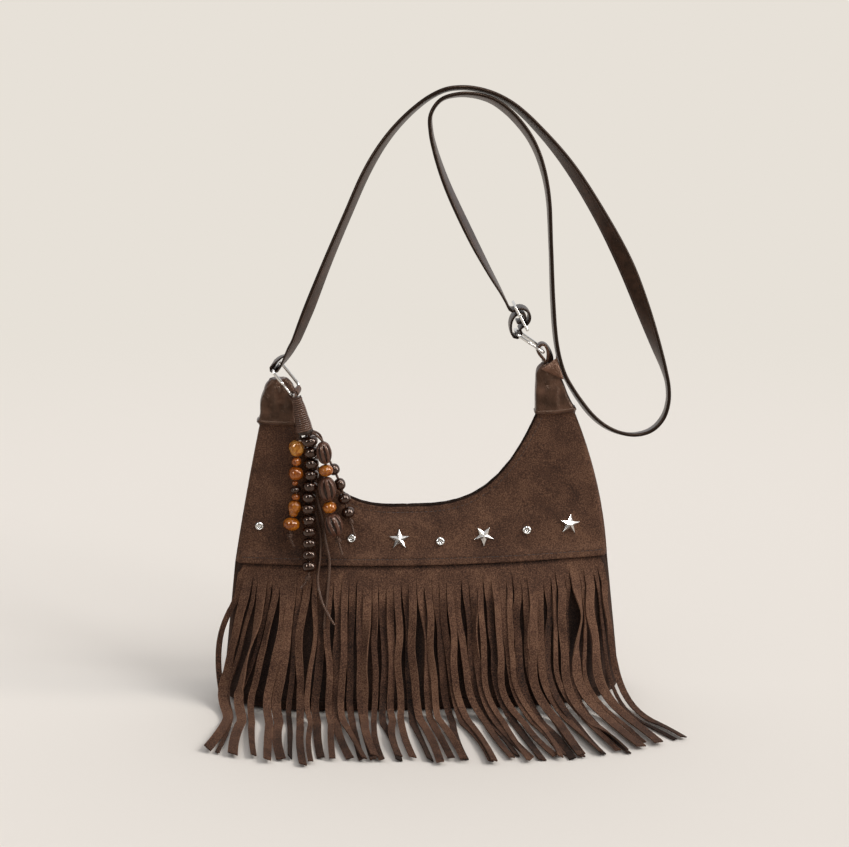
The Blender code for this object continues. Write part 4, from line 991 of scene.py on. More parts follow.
def makeFringe():
    count = fringe["strips"]
    stand = headerInner + bag["fringeWall"] / 2
    points, faces, dye_and_shade, uv = [], [], [], []

    def put(p, shade, u, v):
        points.append(p)
        dye_and_shade.append(shade)
        uv.append((u, v / (10 * mm)))
        return len(points) - 1

    heights = (headerTop, bag["seamHigh"] + 2 * mm, bag["seamHigh"] - 0.5 * mm, bag["seamHigh"] - 4 * mm,
               bag["seamHigh"] - 7 * mm, slitHigh)
    rows = []
    for level, high in enumerate(heights):
        row = []
        for k in range(2 * count + 1):
            z = high
            if level == len(heights) - 1:  # each slit starts where the knife went in
                wander = fringe["slitWander"] * (drift(k // 2, 11, 1) if k % 2 == 0 else -0.6)
                z = min(z + 4.5 * mm + wander, heights[4] - 0.4 * mm)
            tapered = ease((z - slitHigh) / (bag["seamHigh"] - slitHigh))
            share = mix(-1, 1, k / (2 * count)) * mix(0.994, 0.965, tapered)
            x = sideX(-1 if share < 0 else 1, z) * abs(share)
            y = -(bag["gap"] / 2 + swell(x, z) + stand)
            under = -0.35 * limit((z - bag["seamHigh"] + 4 * mm) / (4 * mm))  # painted shade: the header is darker just below the yoke's rolled lower edge
            x -= share * bag["yokeWall"] * ease((z - slitHigh) / (10 * mm))
            row.append(put(Vector((x, y, z)), under, 0.0, z))
        rows.append(row)
    for upper, lower in zip(rows, rows[1:]):
        for k in range(2 * count):
            faces.append((upper[k], upper[k + 1], lower[k + 1], lower[k]))
    for k in range(count):
        share = mix(-0.994, 0.994, (k + 0.5) / count)
        line, flats, order = stripLine(k, share, points[rows[-1][2 * k + 1]].x)
        half = (points[rows[-1][2 * k + 2]] - points[rows[-1][2 * k]]).to_2d().length / 2 - fringe["gap"] / 2
        half *= 0.97 + 0.07 * drift(k, 2, 1)
        before = rows[-1][2 * k:2 * k + 3]
        slant = 1.6 * mm * drift(k + 5, 1, 1)
        run = 0.0
        # a random tone for each strip, and painted shade by layer: strips nearest the bag are darker, those in front
        # lighter
        shade = 0.07 * drift(k, 3, 1) + (-0.17, -0.02, 0.06)[order]
        for at, (point, (turn, roll)) in enumerate(zip(line, flats)):
            ahead = wayAlong(line, at).normalized()
            across = Vector((cos(turn), sin(turn), 0.0))
            across = (across - ahead * across.dot(ahead)).normalized()
            normal = across.cross(ahead).normalized()
            angle = radians(roll)
            lie = across * cos(angle) + normal * sin(angle)
            face = normal * cos(angle) - across * sin(angle)
            cut = ahead * (slant if at == len(line) - 1 else 0.0)
            cup = face * 0.3 * mm * sin(at * 0.35 + k)
            run += (point - line[at - 1]).length if at else 0.0
            fade = shade * min(1.0, at / 4) - 0.2 * limit((run - 75 * mm) / (75 * mm))  # darker towards the cut ends
            here = [put(point - lie * half - cut, fade, -1.0, run), put(point + cup, fade, 0.0, run),
                    put(point + lie * half + cut, fade, 1.0, run)]
            for j in (0, 1):
                faces.append((before[j], before[j + 1], here[j + 1], here[j]))
            before = here
    piece = meshPiece("suede_fringe", points, faces, suedeFringe, uv=uv, marks={"dye_and_shade": dye_and_shade})
    thicken(piece, bag["fringeWall"])
    applyAll(piece)
    softenFaces(piece, 50)
    handOver(piece, "suede", "fringe")
    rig.sheet(piece, flat=(0.284, 0.196), held="hung", rests_on=["suede_front", "suede_base"])


makeFringe()
print("fringe cut and hung")


# stitches lie half sunk in the suede

stitch = {"long": 2.5 * mm, "thick": 0.55 * mm, "pitch": 3.5 * mm, "rounded": 0.16 * mm, "dip": 0.22 * mm}


def makeStitches(name, line):  # line holds places, ways along and outward normals at even steps
    letGo()
    bpy.ops.mesh.primitive_cylinder_add(vertices=8, radius=stitch["thick"] / 2, depth=stitch["long"])
    first = bpy.context.object
    toEdit("VERT", "SELECT")
    bpy.ops.mesh.bevel(offset=stitch["rounded"], segments=1, affect="EDGES")
    toObject()
    shape = [v.co.copy() for v in first.data.vertices]
    walls = [tuple(f.vertices) for f in first.data.polygons]
    bpy.data.objects.remove(first, do_unlink=True)
    points, faces = [], []
    for at, ahead, out in line:
        side = ahead.cross(out).normalized()
        turn = Matrix((side, out, ahead)).transposed()
        start = len(points)
        for p in shape:
            dip = stitch["dip"] * (abs(p.z) / (stitch["long"] / 2)) ** 2
            points.append(at + turn @ p - out * dip)
        faces += [tuple(i + start for i in f) for f in walls]
    piece = meshPiece(name, points, faces, sewingThread)
    softenFaces(piece, 60)
    handOver(piece, "thong")


def faceLine(flatLine, off, facing=-1):
    # lifts an even line of (x, z) places onto the front or back face
    made = []
    flatLine = [p.to_3d() for p in flatLine]
    spots = evenPath(flatLine, max(2, round(pathLength(flatLine) / stitch["pitch"])))
    for a, b in zip(spots, spots[1:]):
        m = (a + b) / 2
        lift = off(m.y)

        def at(x, z):
            return Vector((x, faceY(x, z, lift, facing), z))

        ahead = (at(b.x, b.y) - at(a.x, a.y)).normalized()
        sideways = Vector((ahead.z, 0.0, -ahead.x)).normalized() * mm
        over = (at(m.x + sideways.x, m.y + sideways.z) - at(m.x - sideways.x, m.y - sideways.z)).normalized()
        out = ahead.cross(over).normalized()
        if out.y * facing < 0:
            out = -out
        made.append((at(m.x, m.y), ahead, out))
    return made


def hemLine(depth):  # the mouth's edge, moved into the suede
    made = []
    for k in range(1, len(mouthLine) - 1):
        ahead = (mouthLine[k + 1] - mouthLine[k - 1]).normalized()
        spot = mouthLine[k] + Vector((ahead.y, -ahead.x)) * depth
        if spot.y < (215 * mm if spot.x < 0 else 220 * mm) and (not made or (spot - made[-1]).length > 0.6 * mm):
            made.append(spot)
    return made


sunk = 0.12 * mm - yoke["groove"]
foldHeight = bag["seamHigh"] + yoke["foldStitch"]
foldEnds = [sideX(side, foldHeight) - side * 4 * mm for side in (-1, 1)]
foldLine = [Vector((mix(*foldEnds, k / 200), foldHeight)) for k in range(201)]
mouthHem = hemLine(yoke["stitchIn"])
makeStitches("mouth_stitches", faceLine(mouthHem, lambda z: yokeOuter + yokeRise(z) + yoke["hemThick"] + sunk))
makeStitches("fold_stitches", faceLine(foldLine, lambda z: yokeOuter + yokeRise(z) + yoke["foldThick"] + sunk))
makeStitches("back_stitches", faceLine(mouthHem, lambda z: bag["backWall"] + yoke["hemThick"] + sunk, 1))
print("seams stitched")


# leather caps over the horns

cap = {"wall": 1.4 * mm, "gap": 0.6 * mm, "binding": 0.6 * mm, "crown": 9 * mm,
       "corner": 1.9 * mm, "fold": 0.7 * mm, "pleat": 0.3 * mm, "lip": 0.35 * mm, "taper": 0.30,
       "bottom": {-1: 217 * mm, 1: 222 * mm}, "spare": {-1: 1.2 * mm, 1: 0.0},
       "waist": {-1: 0.9 * mm, 1: 0.25 * mm}, "slant": {-1: 2.0 * mm, 1: 2.6 * mm}, "close": {-1: 0.0, 1: 1.3 * mm},
       # a shallow dent that the open gate swings into, in mm: x, z, depth, half its width
       "gateRoom": {-1: (-102.4, 249.9, 0.6, 3.0), 1: (0.0, 0.0, 0.0, 1.0)},
       # each ring of the top: how far it is lifted and how far it is drawn in, in mm
       "top": ((0.12, 0.1), (0.25, 0.35), (0.4, 0.9), (0.55, 1.7), (0.7, 2.7), (0.82, 3.7), (0.92, 4.8), (1.0, 6.2)),
       # creases on the front, in mm: x and z of both ends, depth, half their width
       "creases": {-1: ((-113.5, 222, -112.0, 247, 0.9, 1.9), (-103.0, 226, -105.0, 252, 0.8, 2.1),
                        (-119.0, 236, -110.0, 249, 0.6, 1.6)),
                   1: ((103.3, 226, 102.8, 247, 0.9, 1.8), (89.0, 243.5, 101.0, 246.5, 1.0, 1.5),
                       (89.0, 248.5, 99.0, 251.0, 0.8, 1.2))}}


def roundedLoop(lowX, highX, frontY, backY, radius, z):
    count = 132
    wide, deep = highX - lowX - 2 * radius, backY - frontY - 2 * radius
    perimeter = 2 * (wide + deep) + 2 * pi * radius
    loop = []
    for k in range(count):
        at = perimeter * k / count
        for run, base, way in ((wide, Vector((lowX + radius, frontY)), Vector((1, 0))),
                               (deep, Vector((highX, frontY + radius)), Vector((0, 1))),
                               (wide, Vector((highX - radius, backY)), Vector((-1, 0))),
                               (deep, Vector((lowX, backY - radius)), Vector((0, -1)))):
            if at <= run:
                spot = base + way * at
                break
            at -= run
            bend = pi / 2 * radius
            if at <= bend:
                spin = at / radius
                middle = base + way * run + Vector((-way.y, way.x)) * radius
                start = Vector((way.y, -way.x)) * radius
                spot = middle + Matrix.Rotation(spin, 2) @ start
                break
            at -= bend
        loop.append(Vector((spot.x, spot.y, z)))
    return loop


def makeCap(name, side):
    tip = bag["tip"][side][1]
    bottom = cap["bottom"][side]
    levels = [bottom + s * mm for s in (0, 0.25, 0.7, 1.2, 1.7, 2.15, 2.4, 2.6, 3.0)]
    shares = (0.08, 0.16, 0.24, 0.32, 0.40, 0.48, 0.56, 0.64, 0.72, 0.80, 0.88, 0.94, 1.0)
    levels += [mix(levels[-1], tip, t) for t in shares]
    loops = []
    outside = cap["gap"] + cap["wall"]

    def section(z, grow, pull=0.0):
        capped = min(z, tip)
        low, high = sorted((sideX(side, capped), mouthX(side, capped)))
        stand = swell(mouthX(side, capped), capped)
        front = -(bag["gap"] / 2 + stand + yokeOuter + grow)
        back = bag["gap"] / 2 + stand + bag["backWall"] + grow
        full = limit(grow / outside)
        spare = cap["spare"][side] * full
        outer = cap["waist"][side] * side * full * sin(2 * pi * limit((z - bottom) / (tip - bottom)) ** 0.9)
        outer += cap["close"][side] * full
        leftOut, rightOut = (outer, 0.0) if side < 0 else (0.0, outer)  # a waist low down and a full shoulder
        return roundedLoop(low - grow + pull - leftOut, high + grow - pull + spare - rightOut, front, back,
                           cap["corner"] + 0.4 * grow, z)

    for z in levels:
        bound = cap["binding"] * borderRound(z - bottom, 0.8 * mm) * ease((bottom + 2.7 * mm - z) / (0.5 * mm))
        loops.append(section(z, outside + bound - cap["lip"] * (1 - borderRound(z - bottom, 0.6 * mm))))
    for lift, pull in cap["top"]:
        loop = section(tip, outside, pull * mm)
        for p in loop:
            p.z = tip + cap["crown"] * lift
            p.y *= 1 - cap["taper"] * lift ** 2
        loops.append(loop)
    count = len(loops[0])
    for loop in loops:  # creases run up the cap and gather towards its top
        for k, p in enumerate(loop):
            high = limit((p.z - bottom - 3 * mm) / (14 * mm))
            top = limit((p.z - tip + 6 * mm) / (12 * mm))
            around = 2 * pi * k / count
            fold = noise.noise(Vector((cos(around) * 2.2, sin(around) * 2.2 + side * 5, p.z / (16 * mm))))
            pleat = sin(around * 11 + 3 * noise.noise(Vector((p.z / (9 * mm), side, 0.3))))
            middleX, middleY = sum(q.x for q in loop) / count, sum(q.y for q in loop) / count
            out = Vector((p.x - middleX, p.y - middleY, 0)).normalized()
            p += out * (cap["fold"] * fold * high + cap["pleat"] * pleat * top)
            outwards = limit((p.x - mouthX(side, tip)) / (sideX(side, bottom) - mouthX(side, tip)))
            p.z += cap["slant"][side] * outwards ** 2 * (1 - limit((p.z - bottom) / (14 * mm)))
            if out.y < -0.3:  # the front only
                for x1, z1, x2, z2, deep, half in cap["creases"][side]:
                    here = Vector((p.x, p.z)) - Vector((x1, z1)) * mm
                    way = Vector((x2 - x1, z2 - z1)) * mm
                    share = here.dot(way) / way.length_squared
                    off = (here - way * limit(share)).length / (half * mm)
                    fold = exp(-off ** 2) - 0.45 * exp(-(off - 2.1) ** 2)
                    p.y += deep * mm * fold * limit(4 * share) * limit(4 - 4 * share)
                x, z, deep, half = cap["gateRoom"][side]
                p.y += deep * mm * exp(-((p.x / mm - x) ** 2 + (p.z / mm - z) ** 2) / half ** 2)
    inner = [section(z, cap["gap"]) for z in (bottom, mix(bottom, tip, 0.5), tip)]
    return loopSkin(name, loops[::-1] + inner, capLeather, 55)


handOver(makeCap("leather_cap_left", -1), "leather", "left_cap")
handOver(makeCap("leather_cap_right", 1), "leather", "right_cap")


flap = {"corners": ((88.7, -6.9, 257.4), (100.4, -4.6, 265.2), (105.4, -6.9, 249.0)), "levels": 12,
        "pillow": 1.5 * mm, "wave": 0.5 * mm, "wall": 1.3 * mm, "rounded": 0.45 * mm}


def makeFlap():  # the right cap's spare leather, folded down over its top
    corners = [Vector(c) * mm for c in flap["corners"]]
    levels = flap["levels"]
    points, faces, at = [], [], {}
    for i in range(levels + 1):
        for j in range(levels + 1 - i):
            a, b = i / levels, j / levels
            c = max(0.0, 1 - a - b)
            p = corners[0] * a + corners[1] * b + corners[2] * c
            p.y -= flap["pillow"] * sqrt(27 * a * b * c) + flap["wave"] * sin(9 * a + 4 * b)
            at[i, j] = len(points)
            points.append(p)
    for i in range(levels):
        for j in range(levels - i):
            faces.append((at[i, j], at[i + 1, j], at[i, j + 1]))
            if j < levels - i - 1:
                faces.append((at[i + 1, j], at[i + 1, j + 1], at[i, j + 1]))
    piece = meshPiece("cap_flap", points, faces, flapLitLeather)
    thicken(piece, flap["wall"])
    roundEdges(piece, flap["rounded"], 3)
    applyAll(piece)
    closeUp(piece)
    softenFaces(piece, 50)
    handOver(piece, "leather")


makeFlap()
print("caps pulled over the horns")


# gate rings, tabs, strap and slider

ring = {"long": 27 * mm, "wide": 21 * mm, "wire": 2.4 * mm, "bend": 3.2 * mm,
        "gateFrom": -2 * mm, "gateTo": 8.6 * mm,
        # the gate, a thin bar with a knurled knob that the thumb pushes in: mm from each of its ends, and how thick
        "gateNear": ((0.0, 1.7), (0.3, 2.15), (0.5, 2.3), (2.4, 2.3), (2.6, 2.0), (2.9, 1.55)),
        "gateFar": ((2.2, 1.55), (2.0, 2.0), (0.3, 2.0), (0.0, 1.7)),
        "left": {"centre": Vector((-101.2, 0.0, 251.5)) * mm, "slope": -53, "roll": 20},
        "right": {"centre": Vector((80.0, 0.0, 277.5)) * mm, "slope": -36, "roll": 0}}
halfLong = (ring["long"] - ring["wire"]) / 2
halfWide = (ring["wide"] - ring["wire"]) / 2


def ringSeat(which):
    slope, roll = radians(which["slope"]), radians(which["roll"])
    along = Vector((cos(slope), 0.0, sin(slope)))
    upright = Vector((-sin(slope), 0.0, cos(slope)))
    across = upright * sin(roll) + backWay * cos(roll)
    return seatFrom(which["centre"], along, across, along.cross(across))


leftSeat = ringSeat(ring["left"])
rightSeat = ringSeat(ring["right"])


def wireMesh(name, points, thick, look, closed=False, sides=14):  # a wire bent along a path, kept as a mesh
    widths = thick if isinstance(thick, list) else [thick] * len(points)
    takeUp(bentLine(name, points, look, 0.5, widths, max(1, sides // 4 - 1), closed))
    bpy.ops.object.convert(target="MESH")
    piece = bpy.context.object
    closeUp(piece)
    softenFaces(piece, 45)
    return piece


def makeRing(side, seat):
    front = -halfWide
    points = [Vector((ring["gateTo"] + bag["gap"], front, 0.0))]
    for x, y, quarter in ((1, -1, 3), (1, 1, 0), (-1, 1, 1), (-1, -1, 2)):
        for k in range(13):
            turn = (quarter + k / 12) * pi / 2
            points.append(Vector((x * (halfLong - ring["bend"]) + ring["bend"] * cos(turn),
                                  y * (halfWide - ring["bend"]) + ring["bend"] * sin(turn), 0.0)))
    points.append(Vector((ring["gateFrom"] - bag["gap"], front, 0.0)))
    piece = wireMesh("wire_ring_" + side, [seat @ p for p in points], ring["wire"], nickel)
    handOver(piece, "steel", side + "_ring")
    places = [ring["gateFrom"] + x * mm for x, _ in ring["gateNear"]]
    places += [ring["gateTo"] - x * mm for x, _ in ring["gateFar"]]
    thick = [t * mm for _, t in ring["gateNear"] + ring["gateFar"]]
    gate = wireMesh("gate_" + side, [seat @ Vector((x, front, 0.0)) for x in places], thick, nickel)
    handOver(gate, "steel", side + "_gate", side + "_gate")


makeRing("left", leftSeat)
makeRing("right", rightSeat)


def bandMesh(name, node, points, acrosses, wide, thick, look, size=None):
    # a flat strap with rounded edges, swept along its middle line; size gives the shares of width and thickness
    belly = 0.12
    edge = thick / 2
    spots = (0.72, 0.5, 0.25, 0.0, -0.25, -0.5, -0.72)
    profile = []
    for way in (1, -1):  # the right edge and the upper face, then the left edge and the lower face
        for k in range(7):
            turn = -way * pi / 2 + pi * k / 6
            profile.append((way * (wide / 2 - edge * 0.8) + edge * 0.8 * cos(turn), edge * sin(turn) * (1 - belly)))
        profile += [(way * wide / 2 * s, way * edge * (1 - belly * s * s)) for s in spots]
    rings, uv = [], []
    run = 0.0
    for at, point in enumerate(points):
        ahead = wayAlong(points, at).normalized()
        across = (acrosses[at] - ahead * acrosses[at].dot(ahead)).normalized()
        normal = ahead.cross(across)
        run += (point - points[at - 1]).length if at else 0.0
        ownWide, ownThick = size(run) if size else (1.0, 1.0)
        rings.append([point + across * w * ownWide + normal * t * ownThick for w, t in profile])
        uv += [(w / mm, run / mm) for w, _ in profile]
    handOver(loopSkin(name, rings, look, 50, uv, 0.01 * mm), "leather", node)


def smoothBand(points, acrosses, step):  # finer places along a band, with the way across carried along
    rich = []
    last = len(points) - 1
    for k in range(last):
        quad = [(points[i], acrosses[i]) for i in (max(0, k - 1), k, k + 1, min(last, k + 2))]
        pieces = max(1, round((points[k + 1] - points[k]).length / step))
        for part in range(pieces):
            rich.append([curveThrough(*(q[which] for q in quad), part / pieces) for which in (0, 1)])
    rich.append([points[last], acrosses[last]])
    return [p for p, _ in rich], [a for _, a in rich]


tab = {"wide": 9 * mm, "wall": 1.6 * mm, "step": 0.8 * mm,
       # the right tab's way round the ring's bar, x and z in mm from it, and its twist at each place of the whole
       "arch": ((-1.4, -3.9), (-3.4, -0.7), (-3.4, 2.3), (-1.4, 4.6), (1.3, 4.5), (3.5, 1.9), (4.9, -1.7)),
       "turns": (8, 6, 0, 0, 0, 0, 0, 8, 20, 34, 40)}


def makeTabs():
    tilted = leftSeat.to_3x3() @ backWay
    radius = (ring["wire"] / 2 + bag["gap"] + tab["wall"] / 2) / cos(pi / 14)
    legs = tab["wall"] / 2 + bag["gap"] / 2
    seat = leftSeat @ Vector((halfLong, 0.0, 0.0)) + Vector((0.0, 0.0, -0.4 * mm))
    seat.x = mouthX(-1, bag["tip"][-1][1]) + cap["gap"] + cap["wall"] + bag["gap"]
    loop = []
    for k in range(8):
        turn = radians(mix(-45, 130, k / 7))
        loop.append(leftSeat @ Vector((halfLong + radius * cos(turn), 0.0, radius * sin(turn))))
    path = [seat + Vector((x * mm, 0.0, -legs - z * mm)) for x, z in ((0.0, 0.0), (2.2, 0.4))] + loop
    path += [seat + Vector((x * mm, 0.0, legs + z * mm)) for x, z in ((2.2, 1.3), (1.0, 0.1), (0.0, 0.0))]
    acrosses = [backWay, tilted] + [tilted] * len(loop) + [tilted, backWay + tilted, backWay]
    bandMesh("leather_tab_left", "left_tab", *smoothBand(path, acrosses, tab["step"]), tab["wide"], tab["wall"],
             capLeather)

    bar = rightSeat @ Vector((halfLong, 0.0, 0.0))
    foot = bag["tip"][1][1] + cap["crown"] + bag["gap"]
    path = [Vector((bar.x + 1.4 * mm, 0.0, foot)), Vector((bar.x + 1.2 * mm, 0.0, foot + 1.7 * mm))]
    path += [bar + Vector((x, 0.0, z)) * mm for x, z in tab["arch"]]
    path += [Vector((bar.x + 5.6 * mm, 0.0, foot + lift)) for lift in (3 * mm, 0.0)]
    acrosses = []
    for at, turn in enumerate(tab["turns"]):
        ahead = wayAlong(path, at).normalized()
        acrosses.append(backWay * cos(radians(turn)) + ahead.cross(backWay) * sin(radians(turn)))
    bandMesh("leather_tab_right", "right_tab", *smoothBand(path, acrosses, tab["step"]), tab["wide"],
             1.45 * tab["wall"], capLeather)


makeTabs()

strap = {"wide": 15 * mm, "wall": 3 * mm, "step": 13 * mm, "fineStep": 2.0 * mm,
         # the left end's places, in mm along the ring from its bar and off its plane, and its twist at each
         "leftEnd": ((-2.0, 10.6), (-2.6, 7.8), (-2.9, 4.8), (-2.8, 1.6), (-2.2, -1.4), (-0.2, -2.75), (1.9, -2.0),
                     (2.75, 0.4), (2.1, 4.2), (0.2, 9.0), (-1.9, 13.5), (-4.2, 18.2)),
         "leftTurns": (15, 9, 4, 1, 0, 0, 0, 0, -6, -12, -17, -20), "leftBack": 0.364}
slider = {"centre": Vector((73.0, 0.0, 296.5)) * mm, "slope": -62.3, "rail": 2.2 * mm, "bar": 2.2 * mm,
          "wall": 2 * mm, "play": 0.55 * mm, "rounded": 0.7 * mm}
sliderAlong = Vector((cos(radians(slider["slope"])), 0.0, sin(radians(slider["slope"]))))
sliderOut = Vector((-sin(radians(slider["slope"])), 0.0, cos(radians(slider["slope"]))))
foldRadius = hypot(slider["bar"], slider["wall"]) / 2 + bag["gap"] + strap["wall"] / 2
passRadius = foldRadius + strap["wall"] + bag["gap"]
sliderPitch = passRadius + strap["wall"] / 2 + bag["gap"] + slider["bar"] / 2


def onSlider(along, out):
    return slider["centre"] + sliderAlong * along + sliderOut * out


def turnRound(centre, radius, first, last, steps):
    turns = [radians(mix(first, last, k / steps)) for k in range(steps + 1)]
    return [centre + (sliderAlong * cos(a) + sliderOut * sin(a)) * radius for a in turns]


def cornerDrop(half):
    past = max(0.0, half - (halfWide - ring["bend"]))
    return ring["bend"] - sqrt(ring["bend"] ** 2 - past ** 2)


def strapLeftEnd():
    # skived thin, it comes down inside the ring, goes round its bar and ends on its own back
    across = leftSeat.to_3x3() @ backWay
    points, acrosses = [], []
    for along, off in strap["leftEnd"]:  # the ring is turned, so the strap moves across it to stay in its own plane
        back = strap["leftBack"] * max(0.0, off) * mm
        points.append(leftSeat @ Vector((along * mm - halfLong, back, off * mm)))
    for at, turn in enumerate(strap["leftTurns"]):  # above the ring it turns its face to the front
        acrosses.append(Matrix.Rotation(radians(turn), 3, wayAlong(points, at)) @ across)
    return points, acrosses


def strapSize(run, total):
    left = total - run
    wide = fromTable(((0, 0.6), (3 * mm, 0.85), (8 * mm, 0.94), (48 * mm, 0.94), (80 * mm, 1.0)), run)
    thin = fromTable(((0, 0.3), (5 * mm, 0.5), (32 * mm, 0.55), (70 * mm, 1.0)), run)
    return wide, min(thin, fromTable(((0, 0.6), (110 * mm, 0.72), (170 * mm, 1.0)), left))


def strapRightEnd():
    bar = rightSeat @ Vector((-halfLong, 0.0, 0.0))
    turn = (ring["wire"] / 2 + cornerDrop(strap["wide"] / 2) + bag["gap"] + strap["wall"] / 2) / cos(pi / 8)
    over = passRadius / cos(pi / 12)
    fold = foldRadius / cos(pi / 12)
    under = slider["wall"] / 2 + strap["wall"] / 2
    points = [onSlider(-sliderPitch - 5 * mm, -under - 1.9 * mm), onSlider(-sliderPitch, -under - 2.1 * mm),
              onSlider(-over - 0.8 * mm, -under - 1.1 * mm), onSlider(-over, -1.6 * mm)]
    points += turnRound(slider["centre"], over, 180, 0, 6)
    points += [onSlider(over, -1.8 * mm)]
    points += turnRound(bar, turn, 110, -110, 5)
    points += [onSlider(4.6 * mm, -10.6 * mm), onSlider(1.2 * mm, -8.9 * mm), onSlider(-1.7 * mm, -6.2 * mm),
               onSlider(-fold, -3 * mm)]
    points += turnRound(slider["centre"], fold, 180, 0, 6)
    points += [onSlider(fold - 0.2 * mm, -2.4 * mm), onSlider(2.1 * mm, -4.3 * mm)]
    return points, [backWay] * len(points)


# the strap's free run: x, z and twist of chosen places, as in the solids
strapRun = ((-93, 281, -30), (-84, 303, -33), (-70, 338, -27), (-54.5, 374, -24), (-39, 408, -24), (-22, 434, -20),
            (-1, 454.5, -16), (19, 465, -14), (43, 464, -13), (66, 453, -15), (89, 431, -20), (110, 405, -29),
            (132, 370, -37), (150, 336, -49), (163, 305, -42), (175, 273, -22), (183, 250, -3), (186, 232, 4),
            (181, 214, 8), (170, 205, 11), (157, 203.5, 13), (142, 208, 14), (128, 219, 12), (116, 235, 9),
            (106, 253, 4), (100, 277, 1), (97, 310, 0), (95, 350, -2), (92, 390, 2), (83, 421, 10),
            (68, 443, 17), (50, 457, 18), (31, 461, 15), (15, 458, 11), (6.5, 447, 7), (8, 427, 8), (18, 396, 15),
            (35, 359, 19), (49, 332, 12), (58, 316, 4))


def makeStrap():
    points, acrosses = strapLeftEnd()
    route = smoothPath([Vector((x * mm, 0.0, z * mm, radians(twist))) for x, z, twist in strapRun], strap["step"])
    for at, place in enumerate(route):
        ahead = wayAlong(route, at).to_3d().normalized()
        points.append(place.to_3d())
        acrosses.append(backWay * cos(place.w) + ahead.cross(backWay) * sin(place.w))
    endPoints, endAcrosses = strapRightEnd()
    points, acrosses = smoothBand(points + endPoints, acrosses + endAcrosses, strap["fineStep"])
    total = pathLength(points)
    bandMesh("leather_strap", "strap", points, acrosses, strap["wide"], strap["wall"], strapLeather,
             size=lambda run: strapSize(run, total))


makeStrap()


def makeSlider():
    half = sliderPitch + slider["bar"] / 2
    wide = strap["wide"] / 2 + slider["play"]
    letGo()
    bpy.ops.mesh.primitive_plane_add(size=1)
    plate = bpy.context.object
    plate.name = "metal_slider"
    plate.scale = (2 * half, 2 * (wide + slider["rail"]), 1)
    bpy.ops.object.transform_apply(location=False, rotation=False, scale=True)
    bpy.ops.object.mode_set(mode="EDIT")
    cuts = [(at, Vector((1, 0, 0))) for at in (-half + slider["bar"], -slider["bar"] / 2, slider["bar"] / 2,
                                               half - slider["bar"])]
    for at, way in cuts + [(-wide, backWay), (wide, backWay)]:
        bpy.ops.mesh.select_all(action="SELECT")
        bpy.ops.mesh.bisect(plane_co=way * at, plane_no=way)
    bpy.ops.mesh.select_all(action="DESELECT")
    toObject()
    for face in plate.data.polygons:
        x, y, _ = face.center
        face.select = abs(y) < wide and slider["bar"] / 2 < abs(x) < half - slider["bar"]
    bpy.ops.object.mode_set(mode="EDIT")
    bpy.ops.mesh.select_mode(type="FACE")
    bpy.ops.mesh.delete(type="FACE")
    bpy.ops.mesh.select_all(action="SELECT")
    bpy.ops.mesh.extrude_region_move(TRANSFORM_OT_translate={"value": (0, 0, slider["wall"])})
    turnOutwards()
    roundEdges(plate, slider["rounded"], 4)
    applyAll(plate)
    seat = seatFrom(slider["centre"], sliderAlong, backWay, sliderOut)
    plate.matrix_world = seat @ Matrix.Translation((0, 0, -slider["wall"] / 2))
    settle(plate)
    closeUp(plate)
    softenFaces(plate, 35)
    plate.data.materials.append(nickel)
    handOver(plate, "steel", "slider")


makeSlider()
print("hardware and strap made")


# studs: round ones with a dimple, stars with sharp ridges

def clothSeat(x, z, off):
    reach = 2 * mm

    def at(px, pz):
        return Vector((px, faceY(px, pz, off), pz))

    across = (at(x + reach, z) - at(x - reach, z)).normalized()
    up = (at(x, z + reach) - at(x, z - reach)).normalized()
    return seatFrom(at(x, z), across, up, across.cross(up))


stud = {"wide": 7 * mm, "high": 2.4 * mm, "rounded": 0.12 * mm,
        "places": ((-123, 138), (-54, 129), (13, 126), (79, 132)),
        # each ring from the rim to the dimple's middle: how far it moves in and up, in mm
        "rings": ((0.3, 0.55), (0.4, 0.42), (0.4, 0.22), (0.3, 0.04), (0.3, -0.2), (0.3, -0.6), (0.4, -0.45),
                  (0.35, -0.1))}
star = {"radius": 8.0 * mm, "waist": 0.41, "high": 3.1 * mm, "rim": 0.28, "rounded": 0.09 * mm,
        "places": ((-18, 128, 90), (46, 129, -90), (112, 135, 84))}
studLift = yokeOuter + 0.1 * mm


def makeStud(name, node, seat):
    letGo()
    bpy.ops.mesh.primitive_cylinder_add(vertices=48, radius=stud["wide"] / 2, depth=stud["high"] * 0.4,
                                        location=(0, 0, stud["high"] * 0.2))
    piece = bpy.context.object
    piece.name = name
    toEdit("FACE", "DESELECT")
    toObject()
    for face in piece.data.polygons:
        face.select = face.normal.z > 0.9
    bpy.ops.object.mode_set(mode="EDIT")
    for inset, lift in stud["rings"]:
        bpy.ops.mesh.inset(thickness=inset * mm, depth=0)
        bpy.ops.transform.translate(value=(0, 0, lift * mm))
    toObject()
    roundEdges(piece, stud["rounded"], 2)
    applyAll(piece)
    seatAt(piece, seat, 50, nickel, "steel", node)


for k, (x, z) in enumerate(stud["places"]):
    makeStud("dimpled_stud_%d" % (k + 1), "stud_%d" % (k + 1), clothSeat(x * mm, z * mm, studLift))


def makeStar(name, node, seat, turn):
    letGo()
    bpy.ops.mesh.primitive_circle_add(vertices=10, radius=star["radius"], fill_type="NGON")
    piece = bpy.context.object
    piece.name = name
    for k, v in enumerate(piece.data.vertices):
        reach = star["radius"] * (star["waist"] if k % 2 else 1.0)
        spin = radians(turn + 36 * k)
        v.co = (reach * cos(spin), reach * sin(spin), 0)
    toEdit("FACE", "SELECT")
    bpy.ops.mesh.extrude_region_move(TRANSFORM_OT_translate={"value": (0, 0, star["high"] * star["rim"])})
    bpy.ops.mesh.poke(offset=star["high"] * (1 - star["rim"]))
    turnOutwards()
    roundEdges(piece, star["rounded"], 2)
    applyAll(piece)
    seatAt(piece, seat, 12, nickel, "steel", node)


